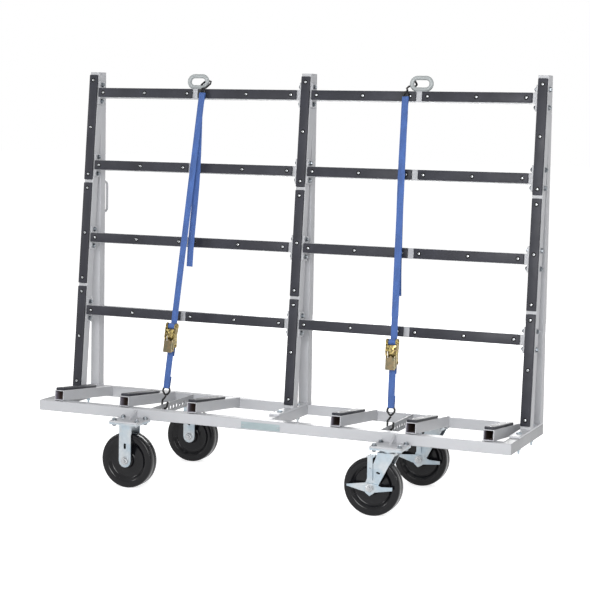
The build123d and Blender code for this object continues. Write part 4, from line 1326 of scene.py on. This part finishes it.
class CART_OT_hooks(bpy.types.Operator):
    """Bend the wire hooks at the rings and in the deck's tie bars"""

    bl_idname = "cart.hooks"
    bl_label = "Hooks"

    def execute(self, context):
        radius = sizes().hook_wire / 2.0
        half = HOOK_MOUTH / 2.0
        top = LOWER_EYE - EYE_RISE
        spots = ((half, HOOK_TIP), (half, 0.0), (-half, 0.0), (-half, HOOK_SHANK), (0.0, top))
        bends = (half - CLEAR, half - CLEAR, SHANK_BEND)
        deck = round_corners([Vector((x, 0.0, z)) for x, z in spots], bends)

        def fill(shape):
            for side in STRAPS:
                line = StrapLine(side)
                neck = line.place @ Vector((0.0, 0.0, line.neck))
                grip = round_corners(line.grip + [neck], [HOOK_BEND] * (len(line.grip) - 1))
                bent_rod(shape, grip, radius)
                bent_rod(shape, [line.place @ point for point in deck], radius)
                for eye in (wire_eye(LOWER_EYE, top), wire_eye(line.upper_eye, line.neck + EYE_LAP)):
                    bent_rod(shape, [line.place @ point for point in eye], radius, closed=True)

        new_piece("wire_hooks", fill, "hook", "hook_black", replaced="strap_hooks")
        return {"FINISHED"}


WELD = 0.0026
THIN_WELD = WELD * 0.8
WELD_PITCH = 0.0034
WELD_SIDES = 8
WELD_RIPPLE = 0.14
WELD_TIP = 0.45
WELD_GROWTH = 0.3


def weld_bead(shape, start, end, radius=THIN_WELD):
    """Rippled weld bead along a line, drawn in at its ends."""
    way = end - start
    count = 4 * max(2, int(way.length / WELD_PITCH))
    along = way.normalized()
    across = along.orthogonal().normalized()
    upward = along.cross(across)
    rings = []
    for index in range(count + 1):
        ripple = 1.0 - WELD_RIPPLE + WELD_RIPPLE * math.sin(index * math.pi / 2.0)
        ends = min(1.0, WELD_TIP + WELD_GROWTH * min(index, count - index))
        centre = start + way * (index / count)
        spots = [centre + across * x + upward * y for x, y in circle(radius * ripple * ends, WELD_SIDES)]
        rings.append(new_ring(shape, spots))
    bridge(shape, rings, capped=True)


RING_SIDES = 24
RING_WELD_LAP = 0.006
RING_WELD_RISE = 0.0012
RING_WELD_DEPTH = RING_BAR * 0.36
HANDLE_ROD = 0.00475
HANDLE_SIDES = 20
# Weld round each foot of the handle: radius and height out of the leg
COLLAR = ((0.0047, 0.0034), (0.0052, 0.0022), (0.0062, 0.0010), (0.0078, 0.0002), (0.0047, 0.0002))
COLLAR_STEPS = 24


class CART_OT_rings(bpy.types.Operator):
    """Bend and weld the tie rings and the pull handle"""

    bl_idname = "cart.rings"
    bl_label = "Rings and handle"

    def execute(self, context):
        loop = slot_loop(RING_STRAIGHT, RING_BEND)
        reach = RING_STRAIGHT / 2.0 + RING_WELD_LAP
        low = RING_WELD_RISE - RING_HEIGHT / 2.0

        def fill(shape):
            for x in (-BAY, BAY):
                centre = (x + RING_SHIFT, BAR_DEPTH, BAR_TOP + RING_HEIGHT / 2.0)
                place = BACK @ Matrix.Translation(centre)
                bent_rod(shape, [place @ point for point in loop], RING_BAR / 2.0, RING_SIDES, True)
                for y in (-RING_WELD_DEPTH, RING_WELD_DEPTH):
                    ends = [place @ Vector((end, y, low)) for end in (-reach, reach)]
                    weld_bead(shape, *ends, WELD)

        new_piece("bent_tie_rings", fill, "ring", "grey_paint", replaced="tie_rings")
        feet = [HANDLE_HEIGHT - HANDLE_SPAN / 2.0, HANDLE_HEIGHT + HANDLE_SPAN / 2.0]
        out = DECK_REAR + HANDLE_REACH
        spots = ((DECK_REAR, feet[0]), (out, feet[0]), (out, feet[1]), (DECK_REAR, feet[1]))
        corners = [Vector((UPRIGHTS[0], y, z)) for y, z in spots]

        def fill_handle(shape):
            path = round_corners(corners, (HANDLE_BEND, HANDLE_BEND))
            bent_rod(shape, path, HANDLE_ROD, HANDLE_SIDES)
            outward = Matrix.Rotation(-math.pi / 2.0, 4, "X")
            for z in feet:
                foot = Matrix.Translation((UPRIGHTS[0], DECK_REAR, z)) @ outward
                turned_ring(shape, COLLAR, foot, COLLAR_STEPS)

        new_piece("bent_pull_handle", fill_handle, "paint", "grey_paint", replaced="pull_handle")
        return {"FINISHED"}


# Beads at a caster's gusset and shelf: half the gusset, then (start, end) up it, out along it
# and to each side of it along the rail
GUSSET_HALF = 0.004
GUSSET_RISE = (0.002, 0.026)
GUSSET_REACH = (0.004, 0.056)
SHELF_BEADS = ((-0.056, -0.012), (0.012, 0.056))
BAR_BEAD = 0.015


def support_beads():
    for x in SUPPORT_SPOTS:
        for side in (-TUBE / 2.0, TUBE / 2.0):
            seam = [SUPPORT @ Vector((x + side, y, 0.0)) for y in (0.0, -SUPPORT_NOSE)]
            for spot in seam:
                spot.z = DECK_TOP
            yield seam


def caster_beads():
    for x in (-CASTER_X, CASTER_X):
        for side in (-1.0, 1.0):
            wall = side * DECK_REAR
            for edge in (x - GUSSET_HALF, x + GUSSET_HALF):
                yield [Vector((edge, wall, PLATE_TOP + rise)) for rise in GUSSET_RISE]
                yield [Vector((edge, wall + side * reach, PLATE_TOP)) for reach in GUSSET_REACH]
            for ends in SHELF_BEADS:
                yield [Vector((x + end, wall, PLATE_TOP)) for end in ends]


def bar_beads():
    inner = TUBE / 2.0 + END_PLATE
    for row in range(BAR_ROWS):
        for face in (inner, UPRIGHTS[2] - inner):
            for bay in (-1.0, 1.0):
                for edge in (-TUBE / 2.0, TUBE / 2.0):
                    z = BAR_FIRST + row * BAR_PITCH + edge
                    depths = (BAR_DEPTH - BAR_BEAD, BAR_DEPTH + BAR_BEAD)
                    yield [BACK @ Vector((bay * face, depth, z)) for depth in depths]


class CART_OT_welds(bpy.types.Operator):
    """Lay the weld beads of the supports, gussets and cross bars"""

    bl_idname = "cart.welds"
    bl_label = "Welds"

    def execute(self, context):
        def fill(shape):
            for beads in (support_beads, caster_beads, bar_beads):
                for ends in beads():
                    weld_bead(shape, *ends)

        new_piece("weld_beads", fill, "paint", "grey_paint", sharp=80.0)
        return {"FINISHED"}


# Radius and distance from the middle, from the bore out to the middle of the tread
WHEEL_HALF_PROFILE = (
    (0.00958, 0.0284),
    (0.0250, 0.0284),
    (0.0266, 0.0276),
    (0.0272, 0.0262),
    (0.0276, 0.0170),
    (0.0292, 0.0142),
    (0.0325, 0.0130),
    (0.0610, 0.0130),
    (0.0650, 0.0136),
    (0.0672, 0.0156),
    (0.0740, 0.0222),
    (0.0766, 0.0242),
    (0.0792, 0.0252),
    (0.0830, 0.0254),
    (0.0925, 0.0254),
    (0.0934, 0.0250),
    (0.0942, 0.0250),
    (0.0952, 0.0252),
    (0.0978, 0.0245),
    (0.1000, 0.0225),
    (0.1011, 0.0196),
    (0.1016, 0.0150),
    (0.1016, 0.0008),
    (0.1013, 0.0),
)


class CART_OT_wheels(bpy.types.Operator):
    """Turn the moulded wheels"""

    bl_idname = "cart.wheels"
    bl_label = "Wheels"

    def execute(self, context):
        other = [(radius, -side) for radius, side in reversed(WHEEL_HALF_PROFILE[:-1])]
        profile = [*WHEEL_HALF_PROFILE, *other]
        lying = Matrix.Rotation(-math.pi / 2.0, 4, "X")
        for end, y in CASTER_ENDS:
            for side, x in (("left", -CASTER_X), ("right", CASTER_X - TRAIL)):

                def fill(shape):
                    place = Matrix.Translation((x, y, AXLE_HEIGHT)) @ lying
                    turned_ring(shape, profile, place, sizes().wheel_steps)

                name = f"{end}_{side}_wheel"
                new_piece(f"moulded_{name}", fill, "wheel", "wheel_black", name, sharp=50.0, replaced=name)
        return {"FINISHED"}


# A ratchet about its spindle: X across the strap, Y into the cart, Z up the pull
LEVER_INNER = 0.0201
LEVER_OUTER = 0.0221
LEVER_EAR = 0.012
EAR_STEPS = 40
LEVER_LENGTH = 0.100
LEVER_SET = 0.0028
LEVER_SET_START = 0.041
LEVER_SET_END = 0.053
LEVER_SET_STEPS = 5
SPINDLE_HOLE = 0.0063
HOLE_STEPS = 18
GUIDE = ((-0.0113, -0.0403), (-0.0083, -0.0267))
GRIP_FRONT = 0.017
GRIP_REAR = 0.004
GRIP_ROLL = 0.004
GRIP_TOP = 0.051
GRIP_CORNER = 0.005
GRIP_HALF = LEVER_OUTER - LEVER_SET
GRIP_ROWS = 9
ROLL_STEPS = 6
GRIP_COLUMNS = 24
NOTCH_CENTRE = 0.0088
NOTCH_RADIUS = 0.0058
RELEASE_FRONT = 0.011
RELEASE_THICK = 0.0024
RELEASE_HEAD = 0.0125
RELEASE_HALF = 0.0172
RELEASE_SIDE = 0.0040
RELEASE_DEEPER = 0.0085
RELEASE_BOW = 0.0016
RELEASE_ROWS = 5
RELEASE_COLUMNS = 25
# Bar and tongue of the release: lengths, height below the spindle and rounded edge
RELEASE_BLOCKS = (
    ((2.0 * LEVER_OUTER, RELEASE_THICK, 0.0066), 0.0305, 0.0009),
    ((0.0190, RELEASE_THICK * 0.8, 0.0240), 0.0320, 0.0008),
)


def thick_sheet(shape, place, outer, inner):
    """Closed sheet between two grids of points."""
    layers = [[new_ring(shape, [place @ spot for spot in row]) for row in layer] for layer in (outer, inner)]
    last_row = len(outer) - 1
    last = len(outer[0]) - 1
    for layer in layers:
        for low, high in zip(layer, layer[1:]):
            for column in range(last):
                after = column + 1
                shape.faces.new((low[column], low[after], high[after], high[column]))
    rim = [(0, column) for column in range(last)] + [(row, last) for row in range(last_row)]
    rim += [(last_row, column) for column in range(last, 0, -1)]
    rim += [(row, 0) for row in range(last_row, 0, -1)]
    bridge(shape, [[layer[row][column] for row, column in rim] for layer in layers])


def lever_cheek(shape, place, side):
    """Side plate of the handle, with its holes, set inward towards the grip."""
    tops = (GRIP_ROLL - GRIP_FRONT, -GRIP_REAR)
    grip = [(y, -z) for y in tops for z in (GRIP_TOP, LEVER_LENGTH - GRIP_CORNER)]
    spots = circle(LEVER_EAR, EAR_STEPS) + grip
    outline = [spots[number] for number in convex_hull_2d(spots)]
    (y0, z0), (y1, z1) = GUIDE
    flat = bmesh.new()
    for loop in (outline, circle(SPINDLE_HOLE, HOLE_STEPS), [(y0, z0), (y1, z0), (y1, z1), (y0, z1)]):
        verts = new_ring(flat, [(side * LEVER_INNER, y, z) for y, z in loop])
        for ends in zip(verts, verts[1:] + verts[:1]):
            flat.edges.new(ends)
    bmesh.ops.triangle_fill(flat, use_beauty=True, edges=flat.edges[:], normal=(side, 0.0, 0.0))
    made = bmesh.ops.extrude_face_region(flat, geom=flat.faces[:], use_keep_orig=True)
    outer = [item for item in made["geom"] if isinstance(item, bmesh.types.BMVert)]
    bmesh.ops.translate(flat, vec=(side * (LEVER_OUTER - LEVER_INNER), 0.0, 0.0), verts=outer)
    set_length = LEVER_SET_END - LEVER_SET_START
    for step in range(LEVER_SET_STEPS):
        level = LEVER_SET_START + set_length * step / (LEVER_SET_STEPS - 1)
        geom = flat.verts[:] + flat.edges[:] + flat.faces[:]
        bmesh.ops.bisect_plane(flat, geom=geom, plane_co=(0.0, 0.0, -level), plane_no=UP)
    for vert in flat.verts:
        share = min(1.0, max(0.0, (-vert.co.z - LEVER_SET_START) / set_length))
        vert.co.x -= side * LEVER_SET * (0.5 - 0.5 * math.cos(math.pi * share))
        vert.co = place @ vert.co
    mesh = bpy.data.meshes.new("cheek")
    flat.to_mesh(mesh)
    flat.free()
    shape.from_mesh(mesh)
    bpy.data.meshes.remove(mesh)


def grip_section(inset):
    """Points (x, y) across the rolled grip, offset inward from its outer face."""
    radius = GRIP_ROLL - inset
    centre = GRIP_HALF - GRIP_ROLL
    turns = [math.pi / 2.0 * step / ROLL_STEPS for step in range(ROLL_STEPS + 1)]
    roll = [(centre + radius * math.cos(turn), -radius * math.sin(turn)) for turn in turns]
    flat = [(centre - 2.0 * centre * step / GRIP_COLUMNS, -radius) for step in range(1, GRIP_COLUMNS)]
    spots = roll + flat + [(-x, y) for x, y in reversed(roll)]
    return [(x, y - GRIP_FRONT + GRIP_ROLL) for x, y in spots]


def grip_ends(x):
    """Ends of the grip at a place across it: two finger notches above, round corners below."""
    top = -GRIP_TOP
    reach = abs(abs(x) - NOTCH_CENTRE)
    if reach < NOTCH_RADIUS:
        top -= math.sqrt(NOTCH_RADIUS**2 - reach**2)
    low = -LEVER_LENGTH
    past = abs(x) - (GRIP_HALF - GRIP_CORNER)
    if past > 0.0:
        low += GRIP_CORNER - math.sqrt(max(0.0, GRIP_CORNER**2 - past**2))
    return top, low


def grip_sheet(shape, place):
    """Rolled plate of the grip."""
    ends = [grip_ends(x) for x, _ in grip_section(0.0)]
    layers = []
    for inset in (0.0, LEVER_OUTER - LEVER_INNER):
        columns = list(zip(grip_section(inset), ends))
        shares = [row / (GRIP_ROWS - 1) for row in range(GRIP_ROWS)]
        layer = []
        for share in shares:
            layer.append([Vector((x, y, top + (low - top) * share)) for (x, y), (top, low) in columns])
        layers.append(layer)
    thick_sheet(shape, place, *layers)


def release_sheet(shape, place):
    """Bowed plate of the release, deeper in the middle."""
    layers = []
    for depth in (-RELEASE_FRONT, RELEASE_THICK - RELEASE_FRONT):
        layer = []
        for row in range(RELEASE_ROWS):
            line = []
            for column in range(RELEASE_COLUMNS):
                across = 2.0 * column / (RELEASE_COLUMNS - 1) - 1.0
                bow = 1.0 - across * across
                drop = (RELEASE_SIDE + RELEASE_DEEPER * bow) * row / (RELEASE_ROWS - 1)
                line.append(Vector((across * RELEASE_HALF, depth - RELEASE_BOW * bow, -RELEASE_HEAD - drop)))
            layer.append(line)
        layers.append(layer)
    thick_sheet(shape, place, *layers)


class CART_OT_ratchets(bpy.types.Operator):
    """Press the ratchets' handles and release plates"""

    bl_idname = "cart.ratchets"
    bl_label = "Ratchets"

    def execute(self, context):
        middle = RELEASE_THICK / 2.0 - RELEASE_FRONT
        for side in STRAPS:
            line = StrapLine(side)
            place = line.place @ Matrix.Translation((0.0, line.spindle_y, SPINDLE_RISE))

            def fill(shape):
                for way in (-1.0, 1.0):
                    lever_cheek(shape, place, way)

            def fill_grip(shape):
                grip_sheet(shape, place)

            def fill_release(shape):
                release_sheet(shape, place)
                for lengths, drop, edge in RELEASE_BLOCKS:
                    centre = place @ Matrix.Translation((0.0, middle, -drop))
                    rounded_block(shape, centre, lengths, edge)

            handle = f"{side}_ratchet_handle"
            release = f"{side}_ratchet_release"
            new_piece(f"{handle}_cheeks", fill, "gold", "yellow_zinc", handle, replaced=handle)
            new_piece(f"{handle}_grip", fill_grip, "bronze", "yellow_zinc", handle)
            new_piece(f"pressed_{release}", fill_release, "gold", "yellow_zinc", release, replaced=release)
        return {"FINISHED"}


# The photograph's camera, in degrees, metres and pixels of its square frame
FRAME_PIXELS = 590.0
SENSOR_MM = 36.0
CAMERA_TURN = 22.8717
CAMERA_DIP = 4.3374
CAMERA_ROLL = -0.9627
CAMERA_FOCAL = 1674.2405
CAMERA_SPOT = Vector((2.3858, -5.5884, 1.3712))
CAMERA_AXIS = (295.0, 240.0)
CAMERA_FAR = 100.0

# Each lamp's place, size and power; what they aim at; and the light of floor and sky
LAMPS = {
    "Key": ((1.0, -5.2, 2.1), 2.6, 215.0),
    "Fill": ((4.4, -2.0, 1.6), 0.8, 32.0),
    "Left": ((-4.2, -2.6, 2.0), 0.9, 36.0),
    "Rear": ((-1.2, 5.0, 1.5), 2.4, 90.0),
}
LAMP_AIM = Vector((0.0, 0.0, 0.7))
WHITE = (1.0, 1.0, 1.0, 1.0)
FLOOR_COLOUR = (0.86, 0.86, 0.86, 1.0)
FLOOR_ROUGHNESS = 0.9
FLOOR_HALF = 40.0
FLOOR_LIFT = 0.68
SKY_LIGHT = 0.44


def placed(name, data):
    """New object in the scene."""
    made = bpy.data.objects.new(name, data)
    bpy.context.scene.collection.objects.link(made)
    return made


def make_camera():
    """Camera at the photograph's place, turn and framing."""
    turn, dip, roll = (math.radians(value) for value in (CAMERA_TURN, CAMERA_DIP, CAMERA_ROLL))
    level = Vector((-math.sin(turn), math.cos(turn), 0.0))
    forward = level * math.cos(dip) - UP * math.sin(dip)
    right = Vector((math.cos(turn), math.sin(turn), 0.0))
    down = forward.cross(right)
    across = right * math.cos(roll) + down * math.sin(roll)
    upward = right * math.sin(roll) - down * math.cos(roll)
    data = bpy.data.cameras.new("Photo camera")
    camera = placed("Photo camera", data)
    camera.matrix_world = Matrix.Translation(CAMERA_SPOT) @ standing(across, upward, -forward)
    data.sensor_width = SENSOR_MM
    data.lens = CAMERA_FOCAL * SENSOR_MM / FRAME_PIXELS
    data.shift_x = (FRAME_PIXELS / 2.0 - CAMERA_AXIS[0]) / FRAME_PIXELS
    data.shift_y = (CAMERA_AXIS[1] - FRAME_PIXELS / 2.0) / FRAME_PIXELS
    data.clip_end = CAMERA_FAR
    bpy.context.scene.camera = camera


def seen_directly(graph):
    """1 for camera, glossy and transmission rays, else 0."""
    path = graph.node("ShaderNodeLightPath").outputs
    seen = graph.calc("MAXIMUM", path["Is Camera Ray"], path["Is Glossy Ray"])
    return graph.calc("MAXIMUM", seen, path["Is Transmission Ray"])


def make_floor():
    """Pale floor that shows white and keeps the cart's shadow."""
    shape = bmesh.new()
    bmesh.ops.create_grid(shape, x_segments=1, y_segments=1, size=FLOOR_HALF)
    mesh = bpy.data.meshes.new("Studio floor")
    shape.to_mesh(mesh)
    shape.free()
    floor = placed("Studio floor", mesh)
    material, graph = new_material("Studio floor")
    feeds = {
        "Base Color": FLOOR_COLOUR,
        "Roughness": FLOOR_ROUGHNESS,
        "Specular IOR Level": 0.0,
        "Emission Color": WHITE,
        "Emission Strength": graph.times(seen_directly(graph), FLOOR_LIFT),
    }
    for key, value in feeds.items():
        graph.feed(graph.tree.nodes["Principled BSDF"].inputs[key], value)
    mesh.materials.append(material)


def make_sky():
    """White surroundings: full white where seen, softer as a light."""
    world = bpy.data.worlds.new("Studio sky")
    bpy.context.scene.world = world
    world.use_nodes = True
    graph = Graph(world.node_tree)
    sky = world.node_tree.nodes["Background"]
    strength = graph.plus(graph.times(seen_directly(graph), 1.0 - SKY_LIGHT), SKY_LIGHT)
    graph.feed(sky.inputs["Color"], WHITE)
    graph.feed(sky.inputs["Strength"], strength)


def make_lamps():
    for name, (spot, width, power) in LAMPS.items():
        data = bpy.data.lights.new(name, "AREA")
        data.size = width
        data.energy = power
        lamp = placed(name, data)
        lamp.location = spot
        lamp.rotation_euler = (LAMP_AIM - Vector(spot)).to_track_quat("-Z", "Y").to_euler()


class CART_OT_stage(bpy.types.Operator):
    """Set the floor, the soft studio light and the camera"""

    bl_idname = "cart.stage"
    bl_label = "Stage"

    def execute(self, context):
        make_floor()
        make_sky()
        make_lamps()
        make_camera()
        bpy.context.scene.view_settings.view_transform = "Standard"
        return {"FINISHED"}


class CART_PT_panel(bpy.types.Panel):
    """Cart pieces and their sizes and colours"""

    bl_label = "Sheet cart"
    bl_idname = "CART_PT_panel"
    bl_space_type = "VIEW_3D"
    bl_region_type = "UI"
    bl_category = "Cart"

    def draw(self, context):
        for operator in OPERATORS:
            self.layout.operator(operator.bl_idname)
        for group in (context.scene.cart_sizes, context.scene.cart_colours):
            for key in group.bl_rna.properties.keys():
                if key not in ("rna_type", "name"):
                    self.layout.prop(group, key)


OPERATORS = (
    CART_OT_finishes,
    CART_OT_pads,
    CART_OT_pad_screws,
    CART_OT_bolts,
    CART_OT_label,
    CART_OT_liners,
    CART_OT_straps,
    CART_OT_stitches,
    CART_OT_hooks,
    CART_OT_rings,
    CART_OT_welds,
    CART_OT_wheels,
    CART_OT_ratchets,
    CART_OT_stage,
)
CLASSES = (CartSizes, CartColours) + OPERATORS + (CART_PT_panel,)


def register():
    for item in CLASSES:
        bpy.utils.register_class(item)
    bpy.types.Scene.cart_sizes = PointerProperty(type=CartSizes)
    bpy.types.Scene.cart_colours = PointerProperty(type=CartColours)


def unregister():
    del bpy.types.Scene.cart_sizes
    del bpy.types.Scene.cart_colours
    for item in reversed(CLASSES):
        bpy.utils.unregister_class(item)


def main():
    register()
    for operator in OPERATORS:
        family, name = operator.bl_idname.split(".")
        getattr(getattr(bpy.ops, family), name)()


if __name__ == "__main__":
    main()
